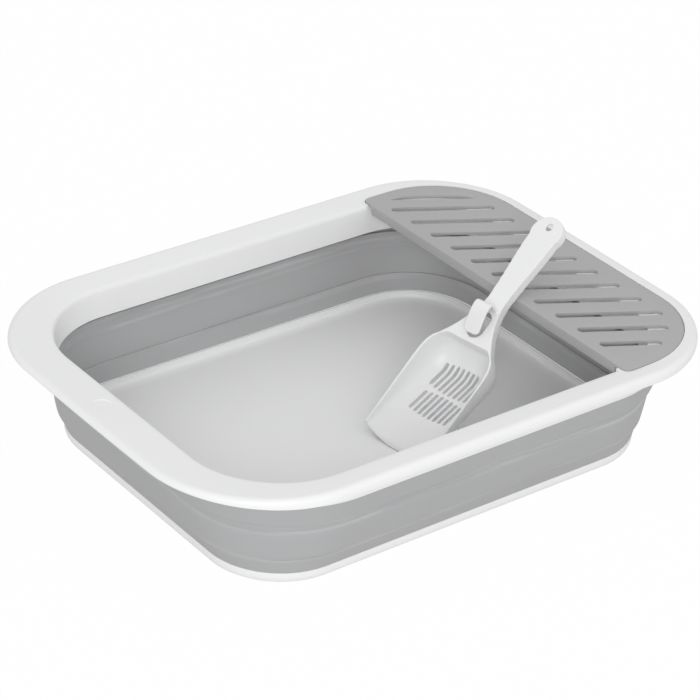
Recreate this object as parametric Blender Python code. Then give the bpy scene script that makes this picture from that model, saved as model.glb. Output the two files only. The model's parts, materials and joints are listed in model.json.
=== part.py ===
"""Foldable litter box: rim, three wall bands, base tray, paw shelf and scoop. Metres, +Z up, origin under the centre."""
import math

import bmesh
import bpy
from mathutils import Matrix, Vector

MM = 0.001

# Driving dimensions, in millimetres
LENGTH = 500.0
WIDTH = 377.0
HEIGHT = 98.0
RIM_CORNER = 102.0
RIM_CORNER_SHELF = 92.0
RIM_BOW = 3.0
RIM_SLOPE = 3.2
RIM_ROLL = 4.0
EDGE_DROP_END = 4.5
EDGE_DROP_SIDE = 9.0
FLANGE_END = 39.0
FLANGE_SIDE = 26.5
OPENING_CORNER = 77.0
PLASTIC = 2.2
COLLAR_DEPTH = 27.0
COLLAR_DRAFT_END = 1.5
COLLAR_DRAFT_SIDE = 3.3
COLLAR_WALL = 1.6
SKIRT_DEPTH = 18.0
SKIRT_WALL = 2.2

WALL_TOP_END = 28.0
WALL_TOP_SIDE = 10.5
WALL_TOP_CORNER = 96.0
BAND_WALL = 2.0
MIDDLE_LAP = 5.5
LOWER_LAP = 2.7
CREASE_ROLL = 3.6
CREASE_TUCK = 1.1
BEAD_DROP = 6.0
BEAD_WIDTH = 6.0
BEAD_RISE = 0.8
BAND_SWELL = 0.35
CREASE_HIGH = 58.3
CREASE_LOW = 24.3
UPPER_TAPER_END = 3.9
UPPER_TAPER_SIDE = 4.5
MIDDLE_TAPER_END = 7.4
MIDDLE_TAPER_SIDE = 7.0
LOWER_TAPER_END = 6.2
LOWER_TAPER_SIDE = 4.7
BAND_CORNER_LOSS = 12.0

BASE_EDGE = 10.0
BASE_ROUND = 5.0
FOOT_HEIGHT = 1.2
FOOT_WIDTH = 9.0
FLOOR_THICK = 2.4
BASE_WALL = 2.4

SHELF_DEPTH = 101.5
SHELF_MARGIN_END = 11.5
SHELF_MARGIN_SIDE = 17.0
SHELF_CORNER = 75.0
SHELF_FRONT_CORNER = 7.0
SHELF_SINK = 1.0
SHELF_PLATE = 2.7
SHELF_LIP = 8.5
SHELF_LIP_WALL = 2.5
LEDGE_THICK = 2.3
SLOT_WIDTH = 8.5
SLOT_PITCH = 27.1
SLOT_ANGLE = -30.0
SLOT_START = 9.5
SLOT_RUN = 78.0
SLOT_FIRST_INSET = 30.0
SLOT_LAST_INSET = 32.0
SLOT_MARGIN = 12.0
CRESCENT_LEAST = 1.2
CRESCENT_EASE = 0.35
CRESCENT_TIP = 0.15

DIMPLE_WIDTH = 17.0
DIMPLE_DEPTH = 0.8
DIMPLE_INSET = 21.5
DIMPLE_OFFSET = 8.0

SCOOP_LENGTH = 232.0
SCOOP_REST = 160.0
SCOOP_HEADING = 9.0
SCOOP_SIDE = -27.0
BOWL_LENGTH = 108.0
BOWL_WIDTH = 72.0
BOWL_DEPTH = 31.0
BOWL_SHOULDER = 0.70
BOWL_DEEPEST = 0.76
BOWL_SQUARE = 0.56
BOWL_END = 0.95
BOWL_CLOSE = 3.0
BOWL_CLOSE_ROUND = 0.36
HEEL_CLOSE = 2.2
HEEL_ROUND = 0.45
LIP_DEPTH = 6.0
LIP_BOW = 8.0
LIP_REACH = 0.4
SCOOP_WALL = 2.2
HANDLE_DEPTH = 9.0
HANDLE_NECK = 18.5
HANDLE_WIDE = 29.0
HANDLE_ROOT = BOWL_WIDTH * 0.75
HANDLE_LAP = 4.0
HANDLE_FLARE = 1.8
HANDLE_SHOULDER = 0.44
HANDLE_SHOULDER_WIDE = 0.9
NECK_BACK = 40.0
TONGUE_WIDTH = 14.5
TONGUE_RISE = 12.0
TONGUE_SHORT = 2.0
TONGUE_TIP = 0.45
TONGUE_PULL = 1.3
WINDOW_LAND = 2.5
WINDOW_WIDTH = 15.0
WINDOW_LENGTH = 25.0
HANG_HOLE = 6.0
HANG_INSET = 9.5
GRID_SLOT = 3.2
GRID_PITCH = 7.0
GRID_MARGIN = 13.5
GRID_LONG = 21.0
GRID_SHORT = 19.0
GRID_BACK = 0.70
GRID_FRONT = 0.455
GRID_ROUND = 0.010

GAP = 0.3
SHELF_GAP = 0.5
CORNER_STEPS = 13
SIDE_STEPS = 8
END_STEPS = 6

# Levels and outlines that follow from the driving dimensions
SHELF_FRONT = LENGTH / 2 - SHELF_MARGIN_END - SHELF_DEPTH
SHELF_TOP = HEIGHT - SHELF_SINK
LEDGE_TOP = SHELF_TOP - SHELF_PLATE - GAP
OPENING_TOP = HEIGHT - RIM_SLOPE
BAND_TOP = LEDGE_TOP - LEDGE_THICK - GAP
FLOOR_TOP = FOOT_HEIGHT + FLOOR_THICK
COLLAR_BOTTOM = HEIGHT - COLLAR_DEPTH
SKIRT_BOTTOM = HEIGHT - SKIRT_DEPTH

WHITE = ("rim_white", (0.83, 0.83, 0.83, 1.0), 0.38)
GREY_SOFT = ("wall_grey", (0.36, 0.36, 0.365, 1.0), 0.55)
GREY_HARD = ("shelf_grey", (0.39, 0.39, 0.395, 1.0), 0.45)


class Outline:
    """A rounded rectangle: half length, half width, corner radius at each end, and a bow of the ends."""

    def __init__(self, a, b, corner, corner_shelf=None, bow=0.0):
        self.a = a
        self.b = b
        self.corner = corner
        self.corner_shelf = corner if corner_shelf is None else corner_shelf
        self.bow = bow

    def offset(self, d):
        return Outline(self.a + d, self.b + d, self.corner + d, self.corner_shelf + d, self.bow)

    def tapered(self, end, side, corner):
        return Outline(self.a - end, self.b - side, self.corner - corner, self.corner_shelf - corner, self.bow)

    def mixed(self, other, t):
        def mix(p, q):
            return p + (q - p) * t
        return Outline(mix(self.a, other.a), mix(self.b, other.b), mix(self.corner, other.corner),
                       mix(self.corner_shelf, other.corner_shelf), mix(self.bow, other.bow))

    def points(self):
        """Points round the outline from +X, each with its side weight: 0 along an end, 1 along a side."""
        quarter = []
        for sign, radius in ((1, self.corner_shelf), (-1, self.corner)):
            end = self.a - self.bow
            arc = []
            for k in range(CORNER_STEPS + 1):
                turn = math.pi / 2 * k / CORNER_STEPS
                x = end - radius + radius * math.cos(turn)
                y = self.b - radius + radius * math.sin(turn)
                x += self.bow * math.cos(turn) ** 2 * (1 - (y / self.b) ** 2)
                arc.append((sign * x, y, math.sin(turn) ** 2))
            straight = []
            for k in range(END_STEPS):
                y = (self.b - radius) * k / END_STEPS
                straight.append((sign * (end + self.bow * (1 - (y / self.b) ** 2)), y, 0.0))
            quarter.append(straight + arc)
        front, back = quarter
        run = back[-1][0] - front[-1][0]
        side = [(front[-1][0] + run * k / SIDE_STEPS, self.b, 1.0) for k in range(1, SIDE_STEPS)]
        half = front + side + back[::-1]
        return half + [(x, -y, w) for x, y, w in half[-2:0:-1]]


RIM = Outline(LENGTH / 2, WIDTH / 2, RIM_CORNER, RIM_CORNER_SHELF, RIM_BOW)
OPENING = Outline(LENGTH / 2 - FLANGE_END, WIDTH / 2 - FLANGE_SIDE, OPENING_CORNER)
COLLAR_END = OPENING.tapered(COLLAR_DRAFT_END, COLLAR_DRAFT_SIDE, COLLAR_DRAFT_END)
UPPER_TOP = Outline(LENGTH / 2 - WALL_TOP_END, WIDTH / 2 - WALL_TOP_SIDE, WALL_TOP_CORNER)
UPPER_END = UPPER_TOP.tapered(UPPER_TAPER_END, UPPER_TAPER_SIDE, UPPER_TAPER_END)
MIDDLE_TOP = UPPER_END.offset(-BAND_WALL - GAP)
MIDDLE_END = MIDDLE_TOP.tapered(MIDDLE_TAPER_END, MIDDLE_TAPER_SIDE, BAND_CORNER_LOSS)
LOWER_TOP = MIDDLE_END.offset(-BAND_WALL - GAP)
LOWER_END = LOWER_TOP.tapered(LOWER_TAPER_END, LOWER_TAPER_SIDE, BAND_CORNER_LOSS)
SHELF = Outline(LENGTH / 2 - SHELF_MARGIN_END, WIDTH / 2 - SHELF_MARGIN_SIDE, SHELF_CORNER)


def clear_scene():
    for item in list(bpy.data.objects):
        bpy.data.objects.remove(item, do_unlink=True)
    for block in (bpy.data.meshes, bpy.data.curves, bpy.data.materials, bpy.data.collections):
        for item in list(block):
            block.remove(item)


def new_collection(name):
    group = bpy.data.collections.new(name)
    bpy.context.scene.collection.children.link(group)
    return group


def material(spec):
    name, colour, roughness = spec
    found = bpy.data.materials.get(name)
    if found is None:
        found = bpy.data.materials.new(name)
        found.use_nodes = True
        shader = found.node_tree.nodes["Principled BSDF"]
        shader.inputs["Base Color"].default_value = colour
        shader.inputs["Roughness"].default_value = roughness
        shader.inputs["Metallic"].default_value = 0.0
    return found


def finish_mesh(name, bm, group, finish=None):
    """Turn a bmesh in millimetres into an object in metres."""
    bmesh.ops.scale(bm, vec=(MM, MM, MM), verts=bm.verts)
    bmesh.ops.recalc_face_normals(bm, faces=bm.faces)
    mesh = bpy.data.meshes.new(name)
    bm.to_mesh(mesh)
    bm.free()
    mesh.shade_smooth()
    mesh.set_sharp_from_angle(angle=math.radians(35))
    made = bpy.data.objects.new(name, mesh)
    group.objects.link(made)
    if finish is not None:
        mesh.materials.append(material(finish))
    return made


def rings_to_bmesh(rings, closed):
    """Skin a list of equal rings; closed joins the last ring to the first, otherwise both ends are capped."""
    bm = bmesh.new()
    made = [[bm.verts.new(point) for point in ring] for ring in rings]
    pairs = list(zip(made, made[1:]))
    if closed:
        pairs.append((made[-1], made[0]))
    for low, high in pairs:
        for k in range(len(low)):
            j = (k + 1) % len(low)
            bm.faces.new((low[k], low[j], high[j], high[k]))
    if not closed:
        bm.faces.new(made[0][::-1])
        bm.faces.new(made[-1])
    return bm


def level(outline, z_end, z_side=None):
    """One ring of an outline, at a height that may differ along the ends and the sides."""
    z_side = z_end if z_side is None else z_side
    return [(x, y, z_end + (z_side - z_end) * w) for x, y, w in outline.points()]


def prism(points, low, high):
    """A flat outline pulled up from one height to another."""
    return rings_to_bmesh([[(x, y, low) for x, y in points], [(x, y, high) for x, y in points]], False)


def boolean(target, cutter, operation="DIFFERENCE"):
    step = target.modifiers.new(operation.title(), "BOOLEAN")
    step.operation = operation
    step.solver = "EXACT"
    step.object = cutter


def as_guide(item):
    item.hide_render = True
    item.display_type = "WIRE"
    return item


def shelf_outline(grow):
    """The shelf seen from above: straight front edge, outer edge parallel to the rim."""
    outer = SHELF.offset(grow)
    front = SHELF_FRONT - grow
    y_end = outer.b
    small = SHELF_FRONT_CORNER
    points = [(x, y) for x, y, w in outer.points() if x > front + small]
    upper = [p for p in points if p[1] >= 0]
    lower = [p for p in points if p[1] < 0]
    corner = []
    for k in range(5):
        turn = math.pi / 2 * k / 4
        corner.append((front + small - small * math.sin(turn), y_end - small + small * math.cos(turn)))
    return lower + upper + corner + [(x, -y) for x, y in corner[::-1]]


def build_rim(parts, cutters):
    roll = RIM_ROLL
    lip = RIM.offset(-PLASTIC)
    skirt_in = UPPER_TOP.offset(GAP)
    skirt_out = skirt_in.offset(SKIRT_WALL)
    under = HEIGHT - PLASTIC
    rings = [
        level(lip, HEIGHT - EDGE_DROP_END, HEIGHT - EDGE_DROP_SIDE),
        level(RIM, HEIGHT - EDGE_DROP_END, HEIGHT - EDGE_DROP_SIDE),
        level(RIM, HEIGHT - roll * 0.75, HEIGHT - roll),
        level(RIM.offset(-roll * 0.3), HEIGHT - roll * 0.3),
        level(RIM.offset(-roll), HEIGHT),
        level(OPENING.offset(roll), OPENING_TOP + 0.4),
        level(OPENING.offset(roll * 0.3), OPENING_TOP - 0.5),
        level(OPENING, OPENING_TOP - roll * 0.7),
        level(COLLAR_END, COLLAR_BOTTOM),
        level(COLLAR_END.offset(COLLAR_WALL), COLLAR_BOTTOM),
        level(OPENING.offset(COLLAR_WALL), OPENING_TOP - roll),
        level(skirt_in, BAND_TOP + 2 * GAP),
        level(skirt_in, SKIRT_BOTTOM),
        level(skirt_out, SKIRT_BOTTOM),
        level(skirt_out, BAND_TOP + 2 * GAP + 1.2),
        level(lip, under - 0.6, under - roll * 0.5),
    ]
    rim = finish_mesh("rim_frame", rings_to_bmesh(rings, True), parts, WHITE)

    ledge = shelf_outline(SHELF_GAP + PLASTIC)
    plate = finish_mesh("shelf_ledge", prism(ledge, LEDGE_TOP - LEDGE_THICK, under), cutters)
    boolean(rim, as_guide(plate), "UNION")
    throat = rings_to_bmesh([level(COLLAR_END, COLLAR_BOTTOM - 5), level(COLLAR_END, COLLAR_BOTTOM),
                             level(OPENING, OPENING_TOP - roll * 0.7), level(OPENING, HEIGHT + 5)], False)
    boolean(rim, as_guide(finish_mesh("rim_throat", throat, cutters)))
    recess = prism(shelf_outline(SHELF_GAP), LEDGE_TOP, HEIGHT + 5)
    boolean(rim, as_guide(finish_mesh("shelf_recess", recess, cutters)))

    x = -LENGTH / 2 + DIMPLE_INSET
    crest = LENGTH / 2 - roll
    slope = (RIM_SLOPE - 0.4) / (crest - OPENING.a - roll)
    surface = HEIGHT - (crest - abs(x)) * slope
    bm = bmesh.new()
    bmesh.ops.create_cone(bm, cap_ends=True, segments=32, radius1=DIMPLE_WIDTH / 2 - 1, radius2=DIMPLE_WIDTH / 2 + 4,
                          depth=5 * DIMPLE_DEPTH)
    bmesh.ops.translate(bm, vec=(x, DIMPLE_OFFSET, surface + 1.5 * DIMPLE_DEPTH), verts=bm.verts)
    boolean(rim, as_guide(finish_mesh("rim_dimple", bm, cutters)))
    return rim


class Band:
    """One wall band: it tapers from its crease down to its lower edge, and laps up behind the band above."""

    def __init__(self, top, end, z_top, z_end):
        self.top = top
        self.end = end
        self.z_top = z_top
        self.z_end = z_end

    def at(self, z, inset=0.0):
        """A ring of the band's outer face at a height, moved inwards by inset."""
        share = (self.z_top - z) / (self.z_top - self.z_end)
        swell = 4 * share * (1 - share) * BAND_SWELL
        return level(self.top.mixed(self.end, share).offset(swell - inset), z)

    def build(self, name, lap, parts, tuck=0.0, bead=0.0):
        """The lower edge tucks in over a small roll, and a bead runs round the inside under the crease."""
        low, high, wall = self.z_end, self.z_top, BAND_WALL
        rings = [self.at(low, tuck)]
        if tuck > 0:
            rings += [self.at(low + CREASE_ROLL * 0.3, tuck * 0.36), self.at(low + CREASE_ROLL)]
        rings += [self.at((low + high) / 2), self.at(high), level(self.top, high + lap)]
        rings += [level(self.top.offset(-wall), high + lap), self.at(high, wall)]
        if bead > 0:
            middle = high - BEAD_DROP
            rings += [self.at(middle + BEAD_WIDTH / 2, wall), self.at(middle, wall + bead),
                      self.at(middle - BEAD_WIDTH / 2, wall)]
        rings += [self.at((low + high) / 2, wall), self.at(low, wall)]
        return finish_mesh(name, rings_to_bmesh(rings, True), parts, GREY_SOFT)


def build_base(parts, cutters):
    """The base tray: a turned-up edge, a floor plate and a foot ring."""
    edge = LOWER_END
    foot = edge.offset(-BASE_ROUND)
    outer = [level(foot, 0.0), level(edge.offset(-BASE_ROUND * 0.3), BASE_ROUND * 0.3),
             level(edge, BASE_ROUND), level(edge, BASE_EDGE)]
    tray = finish_mesh("base_tray", rings_to_bmesh(outer, False), parts, WHITE)
    inside = edge.offset(-BASE_WALL)
    bowl = [level(inside.offset(-BASE_ROUND), FLOOR_TOP), level(inside.offset(-BASE_ROUND * 0.3), FLOOR_TOP + 1.0),
            level(inside, FLOOR_TOP + BASE_ROUND * 0.8), level(inside, BASE_EDGE + 5)]
    boolean(tray, as_guide(finish_mesh("base_inside", rings_to_bmesh(bowl, False), cutters)))
    under = foot.offset(-FOOT_WIDTH)
    hollow = [level(under, -5.0), level(under, 0.0), level(under.offset(-1.0), FOOT_HEIGHT)]
    boolean(tray, as_guide(finish_mesh("base_under", rings_to_bmesh(hollow, False), cutters)))
    return tray


def slot_points(start, end, width):
    """A slot with round ends between two points."""
    run = Vector(end) - Vector(start)
    heading = math.atan2(run.y, run.x)
    points = []
    for centre, turn in ((end, heading - math.pi / 2), (start, heading + math.pi / 2)):
        for k in range(7):
            angle = turn + math.pi * k / 6
            points.append((centre[0] + width / 2 * math.cos(angle), centre[1] + width / 2 * math.sin(angle)))
    return points


def shelf_limit(y, margin):
    """How far +X the shelf reaches at y, less a margin."""
    radius = SHELF.corner - margin
    centre_x = SHELF.a - SHELF.corner
    centre_y = SHELF.b - SHELF.corner
    over = abs(y) - centre_y
    if over <= 0:
        return SHELF.a - margin
    if over >= radius:
        return -math.inf
    return centre_x + math.sqrt(radius * radius - over * over)


def slot_count():
    """How many slots fit along the shelf."""
    return int((2 * SHELF.b - SLOT_FIRST_INSET - SLOT_LAST_INSET) / SLOT_PITCH) + 1


def slot_ends(index):
    """Centres of a slot's two round ends, shortened where the shelf's outline comes close."""
    slope = math.tan(math.radians(SLOT_ANGLE))
    x0 = SHELF_FRONT + SLOT_START + SLOT_WIDTH / 2
    y0 = SHELF.b - SLOT_FIRST_INSET - SLOT_PITCH * index
    x1 = SHELF_FRONT + SLOT_START + SLOT_RUN - SLOT_WIDTH / 2
    while x1 > x0 and x1 > shelf_limit(y0 + (x1 - x0) * slope, SLOT_MARGIN + SLOT_WIDTH / 2):
        x1 -= 0.5
    return (x0, y0), (x1, y0 + (x1 - x0) * slope)


def crescent_points():
    """The first opening: straight along the slots' slant, curved along the shelf's corner."""
    slope = math.tan(math.radians(SLOT_ANGLE))
    base_y = SHELF.b - SLOT_FIRST_INSET + SLOT_PITCH - SLOT_WIDTH / 2
    x0 = SHELF_FRONT + SLOT_START

    def chord(x):
        return base_y + (x - x0) * slope

    def arc(x):
        radius = SHELF.corner - SLOT_MARGIN
        over = max(0.0, x - (SHELF.a - SHELF.corner))
        return SHELF.b - SHELF.corner + math.sqrt(max(0.0, radius * radius - over * over))

    xs = [x0 + k * 0.5 for k in range(int(SLOT_RUN * 2))]
    inside = [x for x in xs if min(arc(x), chord(x) + SLOT_WIDTH) - chord(x) > CRESCENT_LEAST]
    low, high = inside[0], inside[-1]
    top = []
    for k in range(13):
        x = high + (low - high) * k / 12
        ease = math.sin(math.pi * k / 12) ** CRESCENT_EASE
        top.append((x, chord(x) + (min(arc(x), chord(x) + SLOT_WIDTH) - chord(x)) * max(ease, CRESCENT_TIP)))
    return [(low, chord(low)), (high, chord(high))] + top


def build_shelf(parts, cutters):
    plate_low = SHELF_TOP - SHELF_PLATE
    shelf = finish_mesh("paw_shelf", prism(shelf_outline(0.0), plate_low, SHELF_TOP), parts, GREY_HARD)
    reach = OPENING.b - COLLAR_DRAFT_SIDE - 2 * SHELF_GAP
    lip = [(SHELF_FRONT, -reach), (SHELF_FRONT + SHELF_LIP_WALL, -reach),
           (SHELF_FRONT + SHELF_LIP_WALL, reach), (SHELF_FRONT, reach)]
    lip_body = finish_mesh("shelf_lip", prism(lip, SHELF_TOP - SHELF_LIP, plate_low + 0.5), cutters)
    boolean(shelf, as_guide(lip_body), "UNION")
    for index in range(slot_count()):
        start, end = slot_ends(index)
        cut = prism(slot_points(start, end, SLOT_WIDTH), plate_low - 2, SHELF_TOP + 2)
        boolean(shelf, as_guide(finish_mesh("shelf_slot_%02d" % index, cut, cutters)))
    cut = prism(crescent_points(), plate_low - 2, SHELF_TOP + 2)
    boolean(shelf, as_guide(finish_mesh("shelf_crescent", cut, cutters)))
    return shelf


def bowl_half_width(u):
    """Half width of the scoop's bowl at a distance from its lip."""
    start = BOWL_LENGTH * BOWL_SHOULDER
    if u <= start:
        return BOWL_WIDTH / 2
    share = (u - start) / (BOWL_LENGTH - start) * BOWL_END
    return BOWL_WIDTH / 2 * (1 - share ** BOWL_CLOSE) ** BOWL_CLOSE_ROUND


def bowl_depth(u):
    """Depth of the scoop's bowl at a distance from its lip."""
    deepest = BOWL_LENGTH * BOWL_DEEPEST
    if u <= deepest:
        return LIP_DEPTH + (BOWL_DEPTH - LIP_DEPTH) * u / deepest
    share = (u - deepest) / (BOWL_LENGTH - deepest) * BOWL_END
    return BOWL_DEPTH * (1 - share ** HEEL_CLOSE) ** HEEL_ROUND


def lip_pull(u, y):
    """How far the lip's sides stand back from its middle."""
    fade = max(0.0, 1 - u / (BOWL_LENGTH * LIP_REACH))
    return LIP_BOW * fade * (y / (BOWL_WIDTH / 2)) ** 2


def bowl_body(shrink, top, u_first, u_last):
    """A solid filling the bowl, smaller all round by shrink, its flat top at the height given."""
    rings = []
    rows = 12
    across = 12
    for k in range(rows + 1):
        share = 1 - (1 - k / rows) ** 1.6
        u = u_first + (u_last - u_first) * share
        half = bowl_half_width(max(0.0, u)) - shrink
        deep = bowl_depth(max(0.0, u)) - shrink
        ring = [(u + lip_pull(u, half), half, top), (u + lip_pull(u, half), -half, top)]
        for j in range(across + 1):
            turn = math.pi * j / across
            c = math.cos(turn)
            y = -half * math.copysign(abs(c) ** BOWL_SQUARE, c)
            z = -deep * math.sin(turn) ** BOWL_SQUARE
            ring.append((u + lip_pull(u, y), y, z))
        rings.append(ring)
    return rings_to_bmesh(rings, False)


def handle_half_width(u):
    """Half width of the scoop's handle: a root at the bowl, a neck, and a wide lobed end."""
    root = BOWL_LENGTH - HANDLE_LAP
    neck = BOWL_LENGTH + NECK_BACK
    radius = HANDLE_WIDE / 2
    centre = SCOOP_LENGTH - radius
    shoulder = centre - radius * HANDLE_SHOULDER
    if u < neck:
        t = (neck - u) / (neck - root)
        return HANDLE_NECK / 2 + (HANDLE_ROOT - HANDLE_NECK) / 2 * t ** HANDLE_FLARE
    if u < shoulder:
        t = (u - neck) / (shoulder - neck)
        return HANDLE_NECK / 2 + (radius * HANDLE_SHOULDER_WIDE - HANDLE_NECK / 2) * t * t * (3 - 2 * t)
    return math.sqrt(max(0.0, radius * radius - (u - centre) ** 2))


def handle_points(shrink):
    """The handle's outline from the bowl to its round end."""
    start = BOWL_LENGTH - HANDLE_LAP + shrink * 4
    end = SCOOP_LENGTH - HANDLE_WIDE / 2
    us = [start + (end - start) * k / 16 for k in range(17)]
    right = [(u, -handle_half_width(u) + shrink) for u in us]
    radius = HANDLE_WIDE / 2 - shrink
    cap = [(end + radius * math.sin(math.pi * k / 10), -radius * math.cos(math.pi * k / 10)) for k in range(1, 10)]
    return right + cap + [(u, -y) for u, y in right[::-1]]


def tongue_body():
    """The clip tongue: it rises behind the window and arches back over it to a round free end by the bowl."""
    foot = BOWL_LENGTH + WINDOW_LAND + WINDOW_LENGTH + SCOOP_WALL
    tip = BOWL_LENGTH + WINDOW_LAND + TONGUE_SHORT
    route = [Vector(p) for p in ((foot, -1.0), (foot + 1.0, TONGUE_RISE * TONGUE_PULL),
                                 (foot - 5.0, TONGUE_RISE * TONGUE_PULL), (tip, SCOOP_WALL * TONGUE_PULL))]
    rings = []
    rows = 12
    for k in range(rows + 1):
        t = k / rows
        place = route[0] * (1 - t) ** 3 + route[1] * 3 * t * (1 - t) ** 2 + route[2] * 3 * t * t * (1 - t)
        place += route[3] * t ** 3
        heading = (route[1] - route[0]) * (1 - t) ** 2 + (route[2] - route[1]) * 2 * t * (1 - t)
        heading += (route[3] - route[2]) * t * t
        across = heading.normalized().orthogonal() * SCOOP_WALL / 2
        left = max(0.0, place.x - tip)
        radius = TONGUE_WIDTH / 2
        half = radius if left >= radius else max(radius * TONGUE_TIP, math.sqrt(radius ** 2 - (radius - left) ** 2))
        top, low = place + across, place - across
        rings.append([(top.x, half, top.y), (top.x, -half, top.y), (low.x, -half, low.y), (low.x, half, low.y)])
    return rings_to_bmesh(rings, False)


def build_scoop(parts, cutters, axis):
    """The scoop lies on its own X axis: lip at 0, handle end at its length, rim plane at height 0."""
    scoop = finish_mesh("litter_scoop", bowl_body(0.0, 0.0, 0.0, BOWL_LENGTH), parts, WHITE)
    guides = []

    def operand(name, bm, operation):
        item = as_guide(finish_mesh(name, bm, cutters))
        guides.append(item)
        boolean(scoop, item, operation)

    operand("scoop_handle", prism(handle_points(0.0), -HANDLE_DEPTH, 0.0), "UNION")
    operand("scoop_tongue", tongue_body(), "UNION")
    operand("scoop_cavity", bowl_body(SCOOP_WALL, 3.0, -12.0, BOWL_LENGTH - SCOOP_WALL), "DIFFERENCE")
    channel = prism(handle_points(SCOOP_WALL), -HANDLE_DEPTH - 5, -SCOOP_WALL - 0.3)
    operand("scoop_channel", channel, "DIFFERENCE")
    first = BOWL_LENGTH + WINDOW_LAND + WINDOW_WIDTH / 2
    last = first + WINDOW_LENGTH - WINDOW_WIDTH
    window = prism(slot_points((first, 0.0), (last, 0.0), WINDOW_WIDTH), -HANDLE_DEPTH - 5, 0.5)
    operand("scoop_window", window, "DIFFERENCE")
    spot = SCOOP_LENGTH - HANG_INSET
    hole = prism(slot_points((spot - 0.5, 0.0), (spot + 0.5, 0.0), HANG_HOLE), -HANDLE_DEPTH - 5, 5)
    operand("scoop_hole", hole, "DIFFERENCE")
    across = int((BOWL_WIDTH - 2 * GRID_MARGIN) / GRID_PITCH) + 1
    rows = ((BOWL_LENGTH * GRID_BACK, across, GRID_LONG), (BOWL_LENGTH * GRID_FRONT, across - 1, GRID_SHORT))
    for row, (centre, count, run) in enumerate(rows):
        for k in range(count):
            y = (k - (count - 1) / 2) * GRID_PITCH
            short = run - GRID_ROUND * y * y
            cut = prism(slot_points((centre - short / 2, y), (centre + short / 2, y), GRID_SLOT),
                        -BOWL_DEPTH - 5, -LIP_DEPTH - 2)
            operand("scoop_grid_%d_%d" % (row, k), cut, "DIFFERENCE")

    turn_origin = Vector((SCOOP_REST, 0.0, -HANDLE_DEPTH)) * MM
    for item in [scoop] + guides:
        item.data.transform(Matrix.Translation(-turn_origin))
        item.parent = axis
    return scoop


def scoop_rest():
    """The scoop's slope, with its lip on the floor, and how high its handle lies over the shelf's edge.

    The handle crosses the edge at an angle, so one side of its underside touches first.
    """
    back = HANDLE_DEPTH - LIP_DEPTH
    reach = math.hypot(SCOOP_REST, back)
    lift = GAP
    tilt = 0.0
    for _ in range(6):
        rise = SHELF_TOP + lift - FLOOR_TOP - GAP
        tilt = math.asin(rise / reach) + math.atan2(back, SCOOP_REST)
        lift = GAP + HANDLE_NECK / 2 * math.tan(math.radians(SCOOP_HEADING)) * math.tan(tilt)
    return tilt, lift


def place_scoop_axis(group):
    """An empty on the shelf's front edge, where the handle lies; the scoop tips about it."""
    axis = bpy.data.objects.new("scoop_axis", None)
    group.objects.link(axis)
    tilt, lift = scoop_rest()
    axis.location = (SHELF_FRONT * MM, SCOOP_SIDE * MM, (SHELF_TOP + lift) * MM)
    axis.rotation_euler = (0.0, -tilt, math.radians(SCOOP_HEADING))
    return axis


def main():
    clear_scene()
    parts = new_collection("foldable_litter_box")
    cutters = new_collection("cutters")
    build_base(parts, cutters)
    lower = Band(LOWER_TOP, LOWER_END, CREASE_LOW - GAP, BASE_EDGE + GAP)
    lower.build("wall_lower_band", LOWER_LAP, parts)
    middle = Band(MIDDLE_TOP, MIDDLE_END, CREASE_HIGH - GAP, CREASE_LOW)
    middle.build("wall_middle_band", MIDDLE_LAP, parts, CREASE_TUCK, BEAD_RISE)
    upper = Band(UPPER_TOP, UPPER_END, SKIRT_BOTTOM, CREASE_HIGH)
    upper.build("wall_upper_band", BAND_TOP - SKIRT_BOTTOM, parts, CREASE_TUCK)
    build_rim(parts, cutters)
    build_shelf(parts, cutters)
    build_scoop(parts, cutters, place_scoop_axis(cutters))


main()
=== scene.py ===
"""Foldable litter box: rim, nesting wall bands, base, slotted paw shelf and scoop, on a plain stage.

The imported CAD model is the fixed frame. Every piece here is modelled finer over its CAD solid and rides the
same body. Lengths are metres, in the frame of the CAD model: +X towards the shelf, +Z up, origin under the
centre.
"""
import json
import math

import bmesh
import bpy
import numpy as np
from mathutils import Matrix, Vector


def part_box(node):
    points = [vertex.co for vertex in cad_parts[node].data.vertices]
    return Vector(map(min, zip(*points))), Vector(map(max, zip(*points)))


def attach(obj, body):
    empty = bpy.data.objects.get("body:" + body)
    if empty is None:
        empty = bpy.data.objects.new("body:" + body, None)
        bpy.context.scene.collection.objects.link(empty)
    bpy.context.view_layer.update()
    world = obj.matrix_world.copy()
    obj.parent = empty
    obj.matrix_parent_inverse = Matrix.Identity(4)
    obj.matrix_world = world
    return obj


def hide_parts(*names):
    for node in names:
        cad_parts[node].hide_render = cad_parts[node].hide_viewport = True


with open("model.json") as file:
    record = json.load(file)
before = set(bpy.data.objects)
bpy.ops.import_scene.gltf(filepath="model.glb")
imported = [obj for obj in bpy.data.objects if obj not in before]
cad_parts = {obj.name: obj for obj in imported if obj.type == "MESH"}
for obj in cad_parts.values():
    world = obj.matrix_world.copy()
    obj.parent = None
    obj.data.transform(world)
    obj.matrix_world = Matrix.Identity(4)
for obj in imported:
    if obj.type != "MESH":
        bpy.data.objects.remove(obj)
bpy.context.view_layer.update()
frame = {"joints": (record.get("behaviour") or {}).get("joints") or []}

bl_info = {
    "name": "Foldable Litter Box",
    "version": (1, 0, 0),
    "blender": (4, 5, 0),
    "location": "View3D > Sidebar > Litter Box",
    "description": "Builds a folding litter box with a slotted paw shelf and a scoop",
    "category": "Add Mesh",
}

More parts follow.
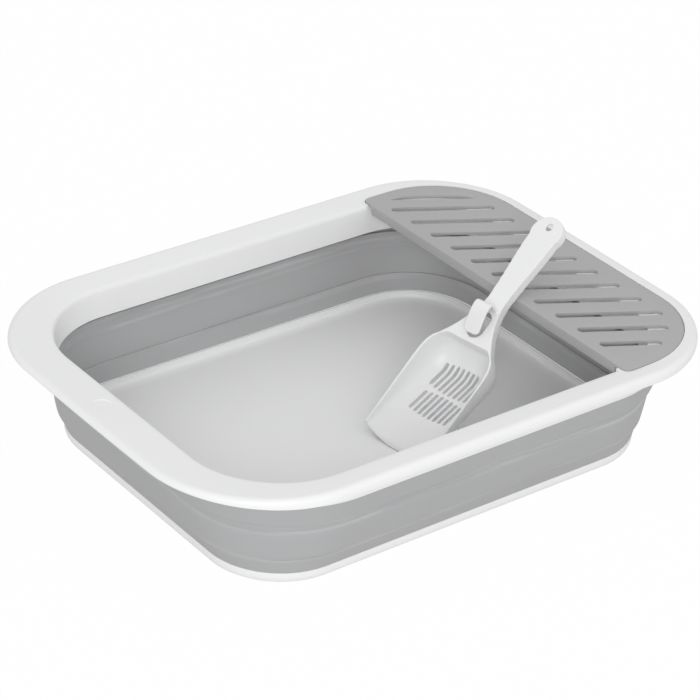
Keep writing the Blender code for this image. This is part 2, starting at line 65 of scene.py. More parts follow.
RIM_LOW, RIM_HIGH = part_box("rim_frame")
SHELF_LOW, SHELF_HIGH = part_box("paw_shelf")
BASE_LOW, BASE_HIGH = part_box("base_tray")
UPPER_LOW, UPPER_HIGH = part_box("wall_upper_band")
MIDDLE_LOW, MIDDLE_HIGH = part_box("wall_middle_band")
LOWER_LOW, LOWER_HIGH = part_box("wall_lower_band")
LEAN = next(joint for joint in frame["joints"] if joint["name"] == "scoop_lean")

# Points of an outline round a corner, along a side and along half an end.
CORNER_STEPS = 40
SIDE_STEPS = 36
END_STEPS = 20
# Points round the shelf's front corners, and round a corner of a section.
FRONT_STEPS = 8
FILLET_STEPS = 4
# The most of a section's shorter side that the rounding of its corner may use.
FILLET_SHARE = 0.48
# An arc's middle lies about this share of its radius in from its two ends.
MID_ARC = 0.3
# How far a cutter reaches past the face that it cuts.
PAST = 0.005
# Keeps a cutter's face off the face beside it, and the floor off the foot ring.
HAIR = 0.00003

# Depth of the plastics' grain, colour of dust, and the pale of the crease and bead lines: painted highlight,
# on the creases partly also the paleness of folded plastic.
GRAIN_DEPTH = 0.0004
DUST = (0.52, 0.50, 0.47, 1.0)
PALE_HIGHLIGHT = (0.72, 0.72, 0.73, 1.0)
# The painted highlight streaks run long round the box and short up the wall. How strongly they show, and
# their reach from a line.
STREAK_SCALE = (14.0, 14.0, 160.0)
STREAK_AMOUNT = 0.42
CREASE_REACH = 0.004
BEAD_REACH = 0.003

# Name, place and width of each lamp, and the point just above the floor that both light.
LAMPS = (("key_lamp", (-1.5, -2.1, 1.2), 1.2), ("fill_lamp", (1.7, -0.7, 1.5), 1.6))
LAMP_TARGET = Vector((0.0, 0.0, 0.05))
# Half the floor's width, and the width of the camera's sensor in millimetres.
FLOOR_REACH = 6.0
SENSOR_WIDTH = 36.0


def number_prop(name, description, default, unit="NONE"):
    return bpy.props.FloatProperty(name=name, description=description, default=default, unit=unit)


def size_prop(name, description, default):
    return bpy.props.FloatProperty(name=name, description=description, default=default, min=0.0, max=1.0,
                                   precision=4, unit="LENGTH")


def share_prop(name, description, default):
    return bpy.props.FloatProperty(name=name, description=description, default=default, min=0.0, max=1.0,
                                   subtype="FACTOR")


def count_prop(name, description, default):
    return bpy.props.IntProperty(name=name, description=description, default=default, min=1, max=720)


def angle_prop(name, description, degrees):
    return bpy.props.FloatProperty(name=name, description=description, default=math.radians(degrees),
                                   subtype="ANGLE")


def colour_prop(name, description, default):
    return bpy.props.FloatVectorProperty(name=name, description=description, default=default, size=3,
                                         min=0.0, max=1.0, subtype="COLOR")


class LitterBoxRim(bpy.types.PropertyGroup):
    corner: size_prop("Corner", "Radius of the rim's corners at the end without the shelf", 0.102)
    corner_shelf: size_prop("Shelf corner", "Radius of the rim's corners at the shelf's end", 0.092)
    bow: size_prop("End bow", "How far the rim's ends bow outwards", 0.003)
    slope: size_prop("Slope", "How far the flange falls towards the opening", 0.0032)
    roll: size_prop("Roll", "Radius of the flange's rolled outer edge", 0.004)
    drop_end: size_prop("End edge", "Height of the flange's outer edge at the ends", 0.0045)
    drop_side: size_prop("Side edge", "Height of the flange's outer edge along the sides", 0.009)
    flange_end: size_prop("End flange", "Width of the flange at the ends", 0.039)
    flange_side: size_prop("Side flange", "Width of the flange along the sides", 0.0265)
    opening_corner: size_prop("Opening corner", "Radius of the opening's corners", 0.077)
    plastic: size_prop("Plastic", "Thickness of the moulding", 0.0022)
    collar_draft_end: size_prop("End draft", "How far the collar leans in at the ends", 0.0015)
    collar_draft_side: size_prop("Side draft", "How far the collar leans in along the sides", 0.0033)
    collar_wall: size_prop("Collar wall", "Thickness of the collar", 0.0016)
    skirt_depth: size_prop("Skirt depth", "From the rim's crest down to the skirt's lower edge", 0.018)
    ledge: size_prop("Ledge", "Thickness of the ledge that carries the shelf", 0.0023)
    shelf_gap: size_prop("Shelf gap", "Room around the shelf in its recess", 0.0005)
    dimple_width: size_prop("Dimple width", "Width of the round dimple on the flange", 0.017)
    dimple_depth: size_prop("Dimple depth", "Depth of the round dimple", 0.0006)
    dimple_inset: size_prop("Dimple inset", "From the rim's end to the dimple's centre", 0.0215)
    dimple_offset: size_prop("Dimple offset", "How far the dimple lies off the centre line", 0.008)


class LitterBoxWall(bpy.types.PropertyGroup):
    top_corner: size_prop("Top corner", "Corner radius of the wall under the rim", 0.096)
    gap: size_prop("Running gap", "Gap between two nested bands", 0.0003)
    band: size_prop("Band wall", "Thickness of a wall band", 0.002)
    taper_upper: size_prop("Upper taper", "How far the upper band narrows at the sides", 0.0045)
    taper_upper_end: size_prop("Upper end taper", "How far the upper band narrows at the ends", 0.0039)
    taper_middle: size_prop("Middle taper", "How far the middle band narrows at the sides", 0.007)
    taper_middle_end: size_prop("Middle end taper", "How far the middle band narrows at the ends", 0.0074)
    taper_lower: size_prop("Lower taper", "How far the lower band narrows at the sides", 0.0047)
    taper_lower_end: size_prop("Lower end taper", "How far the lower band narrows at the ends", 0.0062)
    corner_loss: size_prop("Corner loss", "How much tighter a band's corners are at its foot", 0.012)
    crease_high: size_prop("Upper crease", "Height of the upper crease", 0.0583)
    crease_low: size_prop("Lower crease", "Height of the lower crease", 0.0243)
    roll: size_prop("Crease roll", "Height over which a band's lower edge rolls in", 0.0036)
    tuck: size_prop("Crease tuck", "How far a band's lower edge rolls in", 0.0011)
    bead_drop: size_prop("Bead drop", "From the upper crease down to the bead inside", 0.006)
    bead_width: size_prop("Bead width", "Width of the bead inside", 0.006)
    bead_rise: size_prop("Bead rise", "How far the bead stands out", 0.0008)
    swell: size_prop("Swell", "How far a band bulges outwards half way up", 0.00035)
    around: count_prop("Around", "Steps round the box", 360)
    rows: count_prop("Rows", "Steps up a band", 28)


class LitterBoxBase(bpy.types.PropertyGroup):
    rounding: size_prop("Rounding", "Radius of the tray's lower edge", 0.005)
    foot_height: size_prop("Foot height", "How far the foot ring stands out", 0.0012)
    foot_width: size_prop("Foot width", "Width of the foot ring", 0.009)
    floor: size_prop("Floor", "Thickness of the floor", 0.0024)
    wall: size_prop("Wall", "Thickness of the turned-up edge", 0.0024)


class LitterBoxShelf(bpy.types.PropertyGroup):
    corner: size_prop("Corner", "Radius of the shelf's outer corners", 0.075)
    front_corner: size_prop("Front corner", "Radius of the shelf's front corners", 0.007)
    plate: size_prop("Plate", "Thickness of the plate", 0.0027)
    lip_wall: size_prop("Lip", "Thickness of the front lip", 0.0025)
    slot_width: size_prop("Slot width", "Width of a slot", 0.0085)
    slot_pitch: size_prop("Slot pitch", "From slot to slot along the shelf", 0.0271)
    slot_angle: angle_prop("Slot angle", "Slant of the slots", -30.0)
    slot_start: size_prop("Slot start", "From the front edge to the slots", 0.0095)
    slot_run: size_prop("Slot run", "How far a slot reaches across the shelf", 0.078)
    first_inset: size_prop("First inset", "From the shelf's far end to the first slot", 0.030)
    last_inset: size_prop("Last inset", "Least room after the last slot", 0.032)
    margin: size_prop("Margin", "Least plastic between a slot and the outer edge", 0.012)
    edge: size_prop("Edge", "Rounding of the plate's edges", 0.0005)


class LitterBoxScoop(bpy.types.PropertyGroup):
    length: size_prop("Length", "Length over all", 0.232)
    rest: size_prop("Rest", "From the lip to where the handle lies on the shelf", 0.160)
    bowl_length: size_prop("Bowl length", "Length of the bowl", 0.108)
    bowl_width: size_prop("Bowl width", "Width of the bowl", 0.072)
    bowl_depth: size_prop("Bowl depth", "Depth of the bowl", 0.031)
    shoulder: share_prop("Shoulder", "Share of the bowl's length where it starts to narrow", 0.70)
    deepest: share_prop("Deepest", "Share of the bowl's length where it is deepest", 0.76)
    square: share_prop("Squareness", "Power of the bowl's section: less is squarer", 0.56)
    lip_depth: size_prop("Lip depth", "Depth of the bowl at its lip", 0.006)
    lip_bow: size_prop("Lip bow", "How far the lip's middle stands forward", 0.008)
    lip_reach: share_prop("Lip reach", "Share of the bowl's length over which the lip's bow fades", 0.4)
    wall: size_prop("Wall", "Thickness of the moulding", 0.0022)
    handle_depth: size_prop("Handle depth", "Depth of the handle's channel", 0.009)
    neck: size_prop("Neck", "Width of the handle at its narrowest", 0.0185)
    neck_back: size_prop("Neck place", "From the bowl to the handle's neck", 0.040)
    wide: size_prop("Lobe", "Width of the handle's round end", 0.029)
    root: share_prop("Root", "Width of the handle at the bowl, as a share of the bowl's width", 0.75)
    lap: size_prop("Handle lap", "How far the handle runs in over the bowl", 0.004)
    tongue: size_prop("Tongue", "Width of the clip tongue", 0.016)
    tongue_rise: size_prop("Tongue rise", "Height of the clip tongue", 0.012)
    tongue_short: size_prop("Tongue short", "From the window's edge to the tongue's free end", 0.002)
    window_land: size_prop("Window land", "From the bowl to the neck window", 0.0025)
    window_width: size_prop("Window width", "Width of the neck window", 0.015)
    window_length: size_prop("Window length", "Length of the neck window", 0.025)
    hole: size_prop("Hanging hole", "Width of the hole in the handle's end", 0.006)
    hole_inset: size_prop("Hole inset", "From the handle's end to the hole", 0.0095)
    slit: size_prop("Slit", "Width of a slit in the bowl's floor", 0.0029)
    slit_pitch: size_prop("Slit pitch", "From slit to slit", 0.0053)
    slit_margin: size_prop("Slit margin", "Plain floor beside the slits", 0.0135)
    slit_long: size_prop("Back slits", "Length of the slits in the back row", 0.028)
    slit_short: size_prop("Front slits", "Length of the slits in the front row", 0.024)
    slit_back: share_prop("Back row", "Place of the back row along the bowl", 0.72)
    slit_front: share_prop("Front row", "Place of the front row along the bowl", 0.455)
    voxel: size_prop("Fineness", "Size of the facets of the moulded surface", 0.00055)
    soften: count_prop("Softness", "Smoothing steps of the moulded surface", 9)
    keep: share_prop("Keep", "Share of the facets that are kept after smoothing", 0.62)


class LitterBoxFinish(bpy.types.PropertyGroup):
    white: colour_prop("White", "Colour of the rim, the base and the scoop", (0.84, 0.842, 0.845))
    wall: colour_prop("Wall grey", "Colour of the soft wall", (0.41, 0.412, 0.418))
    shelf: colour_prop("Shelf grey", "Colour of the shelf", (0.415, 0.415, 0.418))
    white_rough: share_prop("White roughness", "Roughness of the white plastic", 0.36)
    wall_rough: share_prop("Wall roughness", "Roughness of the soft wall", 0.52)
    shelf_rough: share_prop("Shelf roughness", "Roughness of the shelf", 0.44)


class LitterBoxStage(bpy.types.PropertyGroup):
    azimuth: angle_prop("Azimuth", "Direction of the camera round the box", -37.8)
    elevation: angle_prop("Elevation", "Height of the camera above the horizon", 30.2)
    roll: angle_prop("Roll", "Turn of the camera about its own line of sight", 2.5)
    distance: number_prop("Distance", "From the camera to its target", 2.327, unit="LENGTH")
    lens: number_prop("Lens", "Focal length in millimetres", 150.1)
    target: bpy.props.FloatVectorProperty(name="Target", description="What the camera looks at", size=3,
                                          default=(0.0031, 0.0071, 0.0711), subtype="XYZ")
    world: number_prop("World", "Strength of the light from all round", 0.80)
    key: number_prop("Key", "Power of the main lamp in watts", 25.0)
    fill: number_prop("Fill", "Power of the second lamp in watts", 1.0)
    floor: colour_prop("Floor", "Colour of the floor", (0.62, 0.62, 0.62))
    floor_glow: share_prop("Floor glow", "Share of the floor's light that is its own", 0.42)
    floor_seen: share_prop("Floor seen", "The same share for the camera, which leaves a faint shadow", 0.985)


class Outline:
    """A rounded rectangle seen from above, with a corner radius for each end and slightly bowed ends."""

    def __init__(self, a, b, corner, corner_shelf=None, bow=0.0):
        self.a = a
        self.b = b
        self.corner = corner
        self.corner_shelf = corner if corner_shelf is None else corner_shelf
        self.bow = bow

    def offset(self, d):
        return Outline(self.a + d, self.b + d, self.corner + d, self.corner_shelf + d, self.bow)

    def tapered(self, end, side, corner):
        return Outline(self.a - end, self.b - side, self.corner - corner, self.corner_shelf - corner,
                       self.bow)

    def points(self):
        """Rows of x, y and side weight: 0 along an end, 1 along a side."""
        halves = []
        for sign, radius in ((1, self.corner_shelf), (-1, self.corner)):
            end = self.a - self.bow
            run = np.arange(END_STEPS) / END_STEPS * (self.b - radius)
            out = end + self.bow * (1 - (run / self.b) ** 2)
            straight = np.column_stack([sign * out, run, np.zeros(END_STEPS)])
            turn = np.linspace(0, math.pi / 2, CORNER_STEPS + 1)
            y = self.b - radius + radius * np.sin(turn)
            x = end - radius + radius * np.cos(turn) + self.bow * np.cos(turn) ** 2 * (1 - (y / self.b) ** 2)
            arc = np.column_stack([sign * x, y, np.sin(turn) ** 2])
            halves.append(np.vstack([straight, arc]))
        front, back = halves
        side_x = np.linspace(front[-1, 0], back[-1, 0], SIDE_STEPS + 1)[1:-1]
        side = np.column_stack([side_x, np.full(len(side_x), self.b), np.ones(len(side_x))])
        half = np.vstack([front, side, back[::-1]])
        mirrored = half[-2:0:-1] * [1, -1, 1]
        return np.vstack([half, mirrored])


def level(outline, z_end, z_side=None):
    """One ring of an outline, at a height that may differ along the ends and the sides."""
    points = outline.points()
    z_side = z_end if z_side is None else z_side
    return np.column_stack([points[:, 0], points[:, 1], z_end + (z_side - z_end) * points[:, 2]])


def rounded(rings, radii, closed=True, steps=FILLET_STEPS):
    """Rounds the corners of a section that runs through the rings, with a radius for each ring."""
    made = []
    count = len(rings)
    for k, (here, radius) in enumerate(zip(rings, radii)):
        at_end = not closed and k in (0, count - 1)
        if radius == 0 or at_end:
            made.append(here)
            continue
        before = rings[k - 1] - here
        after = rings[(k + 1) % count] - here
        long_before = np.linalg.norm(before, axis=1)[:, None]
        long_after = np.linalg.norm(after, axis=1)[:, None]
        cut = np.minimum(radius, FILLET_SHARE * np.minimum(long_before, long_after))
        first = here + before / long_before * cut
        last = here + after / long_after * cut
        for t in np.linspace(0, 1, steps + 1):
            made.append((1 - t) ** 2 * first + 2 * t * (1 - t) * here + t * t * last)
    return made


def mesh_object(name, bm):
    """An object at the origin, smooth shaded, with its faces pointing out."""
    bmesh.ops.recalc_face_normals(bm, faces=bm.faces)
    mesh = bpy.data.meshes.new(name)
    bm.to_mesh(mesh)
    bm.free()
    mesh.shade_smooth()
    made = bpy.data.objects.new(name, mesh)
    bpy.context.scene.collection.objects.link(made)
    return made


def skin(rings, closed):
    """Skins equal rings; closed joins the last to the first, otherwise both ends are capped."""
    bm = bmesh.new()
    made = [[bm.verts.new(point) for point in ring] for ring in rings]
    pairs = list(zip(made, made[1:]))
    if closed:
        pairs.append((made[-1], made[0]))
    for low, high in pairs:
        for k in range(len(low)):
            j = (k + 1) % len(low)
            bm.faces.new((low[k], low[j], high[j], high[k]))
    if not closed:
        bm.faces.new(made[0][::-1])
        bm.faces.new(made[-1])
    return bm


def prism(points, low, high):
    """A flat outline pulled up from one height to another."""
    return skin([[(x, y, low) for x, y in points], [(x, y, high) for x, y in points]], False)


def baked(made):
    """Turns an object and its modifiers into one plain mesh."""
    bpy.context.view_layer.update()
    graph = bpy.context.evaluated_depsgraph_get()
    mesh = bpy.data.meshes.new_from_object(made.evaluated_get(graph), depsgraph=graph)
    made.modifiers.clear()
    old = made.data
    made.data = mesh
    bpy.data.meshes.remove(old)
    return made


def cut(target, cutters, operation="DIFFERENCE"):
    """Booleans a list of objects with the target and removes them."""
    for cutter in cutters:
        step = target.modifiers.new(operation.title(), "BOOLEAN")
        step.operation = operation
        step.solver = "EXACT"
        step.object = cutter
    baked(target)
    for cutter in cutters:
        bpy.data.objects.remove(cutter, do_unlink=True)
    return target


def smooth(made, sharp):
    """Shades an object smooth, with edges sharper than the angle in degrees left crisp."""
    made.data.shade_smooth()
    made.data.set_sharp_from_angle(angle=math.radians(sharp))
    return made


def bevelled(made, width, sharper_than):
    """Rounds the edges of an object that are sharper than an angle in degrees, and bakes it."""
    edges = made.modifiers.new("Edges", "BEVEL")
    edges.width = width
    edges.segments = 3
    edges.limit_method = "ANGLE"
    edges.angle_limit = math.radians(sharper_than)
    return baked(made)


def place(made, body, node, slot, material):
    """Gives a finished piece its material and body, and hides the CAD node that it stands for. The slot is
    not used.
    """
    made.data.materials.clear()
    made.data.materials.append(material)
    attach(made, body)
    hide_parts(node)
    return made


def group_tree(name, kind, inputs, outputs):
    """A node group with named inputs and outputs, and its two end nodes."""
    tree = bpy.data.node_groups.new(name, kind)
    for label, socket, default in inputs:
        made = tree.interface.new_socket(name=label, in_out="INPUT", socket_type="NodeSocket" + socket)
        if default is not None:
            made.default_value = default
    for label, socket in outputs:
        tree.interface.new_socket(name=label, in_out="OUTPUT", socket_type="NodeSocket" + socket)
    return tree, tree.nodes.new("NodeGroupInput"), tree.nodes.new("NodeGroupOutput")


class Wire:
    """Short calls for building a node tree."""

    def __init__(self, tree):
        self.tree = tree

    def node(self, kind, *sources, **settings):
        made = self.tree.nodes.new(kind)
        for key, value in settings.items():
            setattr(made, key, value)
        for k, source in enumerate(sources):
            self.put(made.inputs[k], source)
        return made

    def put(self, socket, source):
        if source is None:
            return
        if isinstance(source, bpy.types.NodeSocket):
            self.tree.links.new(source, socket)
        elif isinstance(source, bpy.types.Node):
            self.tree.links.new(source.outputs[0], socket)
        else:
            socket.default_value = source

    def math(self, operation, *sources):
        return self.node("ShaderNodeMath", *sources, operation=operation).outputs[0]

    def vector(self, operation, *sources):
        return self.node("ShaderNodeVectorMath", *sources, operation=operation).outputs[0]

    def scaled(self, vector, factor):
        made = self.node("ShaderNodeVectorMath", vector, operation="SCALE")
        self.put(made.inputs["Scale"], factor)
        return made.outputs[0]

    def feed(self, node, inputs):
        for name, source in inputs.items():
            self.put(node.inputs[name], source)
        return node

    def fed(self, kind, inputs, **settings):
        """A node whose inputs are given by their names."""
        return self.feed(self.node(kind, **settings), inputs)

    def noise(self, where, scale, detail, distortion=0.0):
        return self.fed("ShaderNodeTexNoise", {"Vector": where, "Scale": scale, "Detail": detail,
                                               "Distortion": distortion}).outputs["Fac"]

    def ranged(self, value, low, high, at_low=0.0, at_high=1.0):
        """Goes from at_low to at_high as the value goes from low to high, and no further."""
        return self.fed("ShaderNodeMapRange", {"Value": value, "From Min": low, "From Max": high,
                                               "To Min": at_low, "To Max": at_high}).outputs["Result"]

    def mixed(self, amount, first, second):
        """Two colours, from the first at 0 to the second at 1."""
        return self.fed("ShaderNodeMix", {"Factor": amount, "A": first, "B": second},
                        data_type="RGBA").outputs["Result"]


def grain_group():
    """Fine spark-eroded mould texture: a height for Bump and a small change of roughness."""
    tree, start, end = group_tree("Mould Grain", "ShaderNodeTree", (
        ("Vector", "Vector", None),
        ("Scale", "Float", 900.0),
        ("Roughness", "Float", 0.4),
        ("Variation", "Float", 0.06),
    ), (("Height", "Float"), ("Roughness", "Float")))
    w = Wire(tree)
    ins = start.outputs
    coarse = w.noise(ins["Vector"], scale=16.0, detail=4.0)
    change = w.math("MULTIPLY", w.math("SUBTRACT", coarse, 0.5), ins["Variation"])
    w.put(end.inputs["Height"], w.noise(ins["Vector"], ins["Scale"], detail=2.0))
    w.put(end.inputs["Roughness"], w.math("ADD", change, ins["Roughness"]))
    return tree


def tone_group():
    """Slow, faint change of colour in moulded plastic, and a little dust in small specks."""
    tree, start, end = group_tree("Plastic Tone", "ShaderNodeTree", (
        ("Vector", "Vector", None),
        ("Color", "Color", (0.8, 0.8, 0.8, 1.0)),
        ("Depth", "Float", 0.03),
        ("Scale", "Float", 9.0),
        ("Dust", "Float", 0.1),
    ), (("Color", "Color"),))
    w = Wire(tree)
    ins = start.outputs
    flow = w.noise(ins["Vector"], ins["Scale"], detail=3.0, distortion=0.6)
    change = w.math("MULTIPLY", w.math("SUBTRACT", flow, 0.5), ins["Depth"])
    toned = w.scaled(ins["Color"], w.math("ADD", change, 1.0))
    specks = w.ranged(w.noise(ins["Vector"], scale=420.0, detail=6.0), low=0.66, high=0.80)
    w.put(end.inputs["Color"], w.mixed(w.math("MULTIPLY", specks, ins["Dust"]), toned, DUST))
    return tree


def crease_highlight_streaks(w, where, colour, lines):
    """Pale broken streaks along each line's height: painted highlight where the rounded creases and the bead
    catch the light, on the creases partly also the paleness of folded plastic.
    """
    height = w.node("ShaderNodeSeparateXYZ", where).outputs["Z"]
    flat = w.fed("ShaderNodeMapping", {"Vector": where, "Scale": STREAK_SCALE})
    broken = w.ranged(w.noise(flat, scale=1.0, detail=5.0), low=0.42, high=0.70)
    total = None
    for line, reach in lines:
        off = w.math("ABSOLUTE", w.math("SUBTRACT", height, line))
        near = w.ranged(off, 0.0, reach, at_low=1.0, at_high=0.0)
        total = near if total is None else w.math("MAXIMUM", total, near)
    amount = w.math("MULTIPLY", w.math("MULTIPLY", total, broken), STREAK_AMOUNT)
    return w.mixed(amount, colour, PALE_HIGHLIGHT)


def plastic(name, colour, roughness, groups, grain, grain_scale=900.0, depth=0.03, dust=0.05, specular=0.5,
            streaks=None):
    """A moulded plastic: its tone, its grain, and where asked pale streaks of painted highlight along the
    wall's creases and bead.
    """
    made = bpy.data.materials.new(name)
    made.use_nodes = True
    made.diffuse_color = (*colour, 1.0)
    w = Wire(made.node_tree)
    where = w.node("ShaderNodeTexCoord").outputs["Object"]
    tone = w.fed("ShaderNodeGroup", {"Vector": where, "Color": (*colour, 1.0), "Depth": depth, "Dust": dust},
                 node_tree=groups["tone"])
    grained = w.fed("ShaderNodeGroup", {"Vector": where, "Scale": grain_scale, "Roughness": roughness},
                    node_tree=groups["grain"])
    shown = tone.outputs["Color"]
    # Pale streaks of painted highlight along the creases and the bead, on the creases partly the paleness of
    # folded plastic.
    if streaks:
        shown = crease_highlight_streaks(w, where, shown, streaks)
    bump = w.fed("ShaderNodeBump", {"Strength": grain, "Distance": GRAIN_DEPTH,
                                    "Height": grained.outputs["Height"]})
    shader = made.node_tree.nodes["Principled BSDF"]
    w.feed(shader, {"Base Color": shown, "Roughness": grained.outputs["Roughness"], "Normal": bump,
                    "Specular IOR Level": specular})
    return made


def finishes():
    """The four plastics of the box, made once and kept by name."""
    names = ("satin_white_plastic", "soft_grey_wall", "satin_grey_shelf", "scoop_white_plastic")
    found = {name: bpy.data.materials.get(name) for name in names}
    if all(found.values()):
        return found
    f = bpy.context.scene.litterbox_finish
    wall = bpy.context.scene.litterbox_wall
    groups = {"grain": grain_group(), "tone": tone_group()}
    # Heights where the wall gets pale streaks of painted highlight: the two creases and the bead inside.
    creases = ((wall.crease_high, CREASE_REACH), (wall.crease_low, CREASE_REACH),
               (wall.crease_high - wall.bead_drop, BEAD_REACH))
    looks = (
        (f.white, f.white_rough, dict(grain=0.06)),
        (f.wall, f.wall_rough, dict(grain=0.12, grain_scale=1400.0, depth=0.08, dust=0.10, specular=0.42,
                                    streaks=creases)),
        (f.shelf, f.shelf_rough, dict(grain=0.16, grain_scale=1600.0, depth=0.05, dust=0.06)),
        (f.white, f.white_rough, dict(grain=0.05, depth=0.02)),
    )
    return {name: plastic(name, tuple(colour), roughness, groups, **more)
            for name, (colour, roughness, more) in zip(names, looks)}


def wall_top():
    return Outline(UPPER_HIGH.x, UPPER_HIGH.y, bpy.context.scene.litterbox_wall.top_corner)


def shelf_points(grow):
    """The shelf seen from above: straight front edge, outer edge parallel to the rim."""
    s = bpy.context.scene.litterbox_shelf
    outer = Outline(SHELF_HIGH.x, SHELF_HIGH.y, s.corner).offset(grow)
    front = SHELF_LOW.x - grow
    small = s.front_corner
    points = [(x, y) for x, y, w in outer.points() if x > front + small]
    upper = [p for p in points if p[1] >= 0]
    lower = [p for p in points if p[1] < 0]
    corner = []
    for k in range(FRONT_STEPS + 1):
        turn = math.pi / 2 * k / FRONT_STEPS
        corner.append((front + small - small * math.sin(turn), outer.b - small + small * math.cos(turn)))
    return lower + upper + corner + [(x, -y) for x, y in corner[::-1]]


class LITTERBOX_OT_rim(bpy.types.Operator):
    """Builds the rim: flange with a rolled edge, collar, skirt, shelf recess and dimple"""
    bl_idname = "litterbox.rim"
    bl_label = "Rim"

    # Where the outer edge turns into the roll at the ends, in radii of the roll below the crest.
    END_TURN = 0.75
    # How far the flange's inner edge stands above its slope, and then falls below it.
    BROW = 0.0004
    BROW_FALL = 0.0005
    # How much higher the skirt's outer face meets the flange than its inner face does.
    SKIRT_ROOT = 0.0012
    # How far the flange's underside falls towards its edge, at the ends and in radii along the sides.
    UNDER_END = 0.0006
    UNDER_SIDE = 0.5
    # The dimple's cutter: points round it, and its height in depths of the dimple.
    DIMPLE_SIDES = 128
    DIMPLE_HEIGHT = 6
    # Edges sharper than this angle in degrees stay crisp.
    CRISP = 32

    def execute(self, context):
        s = context.scene.litterbox_rim
        gap = context.scene.litterbox_wall.gap
        top = RIM_HIGH.z
        rim = Outline(RIM_HIGH.x, RIM_HIGH.y, s.corner, s.corner_shelf, s.bow)
        opening = Outline(RIM_HIGH.x - s.flange_end, RIM_HIGH.y - s.flange_side, s.opening_corner)
        collar_foot = opening.tapered(s.collar_draft_end, s.collar_draft_side, s.collar_draft_end)
        skirt_in = wall_top().offset(gap)
        skirt_out = skirt_in.offset(s.plastic)
        lip = rim.offset(-s.plastic)
        under = top - s.plastic
        inner = top - s.slope
        mouth_low = inner - s.roll * (1 - MID_ARC)
        ceiling = UPPER_HIGH.z + 2 * gap
        # Each ring of the section, with the radius that rounds its corner.
        section = (
            (level(lip, top - s.drop_end, top - s.drop_side), 0.0007),
            (level(rim, top - s.drop_end, top - s.drop_side), 0.0009),
            (level(rim, top - s.roll * self.END_TURN, top - s.roll), 0.0015),
            (level(rim.offset(-s.roll * MID_ARC), top - s.roll * MID_ARC), 0.0015),
            (level(rim.offset(-s.roll), top), 0.003),
            (level(opening.offset(s.roll), inner + self.BROW), 0.003),
            (level(opening.offset(s.roll * MID_ARC), inner - self.BROW_FALL), 0.0012),
            (level(opening, mouth_low), 0.0015),
            (level(collar_foot, RIM_LOW.z), 0.0006),
            (level(collar_foot.offset(s.collar_wall), RIM_LOW.z), 0.0006),
            (level(opening.offset(s.collar_wall), inner - s.roll), 0.001),
            (level(skirt_in, ceiling), 0.0008),
            (level(skirt_in, top - s.skirt_depth), 0.0007),
            (level(skirt_out, top - s.skirt_depth), 0.0007),
            (level(skirt_out, ceiling + self.SKIRT_ROOT), 0.0015),
            (level(lip, under - self.UNDER_END, under - s.roll * self.UNDER_SIDE), 0.001),
        )
        made = mesh_object("rim_frame_moulding", skin(rounded(*zip(*section)), True))

        ledge_top = SHELF_HIGH.z - context.scene.litterbox_shelf.plate - gap
        ledge_shape = prism(shelf_points(s.shelf_gap + s.plastic), ledge_top - s.ledge, under)
        cut(made, [mesh_object("ledge", ledge_shape)], "UNION")
        foot, mouth = collar_foot.offset(-HAIR), opening.offset(-HAIR)
        throat = skin([level(foot, RIM_LOW.z - PAST), level(foot, RIM_LOW.z), level(mouth, mouth_low),
                       level(mouth, top + PAST)], False)
        recess = prism(shelf_points(s.shelf_gap), ledge_top, top + PAST)
        cut(made, [mesh_object("throat", throat), mesh_object("recess", recess), self.dimple(s, top)])
        smooth(made, self.CRISP)
        place(made, "rim", "rim_frame", "rim_white", finishes()["satin_white_plastic"])
        return {"FINISHED"}

    def dimple(self, s, top):
        """The cutter of a shallow flat-bottomed dish, tilted with the sloping flange."""
        x = RIM_LOW.x + s.dimple_inset
        crest = RIM_HIGH.x - s.roll
        slope = (s.slope - self.BROW) / (s.flange_end - 2 * s.roll)
        surface = top - (crest - abs(x)) * slope
        floor = s.dimple_width / 2 - s.dimple_depth
        height = self.DIMPLE_HEIGHT * s.dimple_depth
        bm = bmesh.new()
        bmesh.ops.create_cone(bm, cap_ends=True, segments=self.DIMPLE_SIDES, radius1=floor,
                              radius2=floor + height, depth=height)
        bmesh.ops.translate(bm, vec=(0.0, 0.0, height / 2 - s.dimple_depth), verts=bm.verts)
        tilt = Matrix.Translation((x, s.dimple_offset, surface)) @ Matrix.Rotation(math.atan(slope), 4, "Y")
        bmesh.ops.transform(bm, matrix=tilt, verts=bm.verts)
        return mesh_object("dimple", bm)


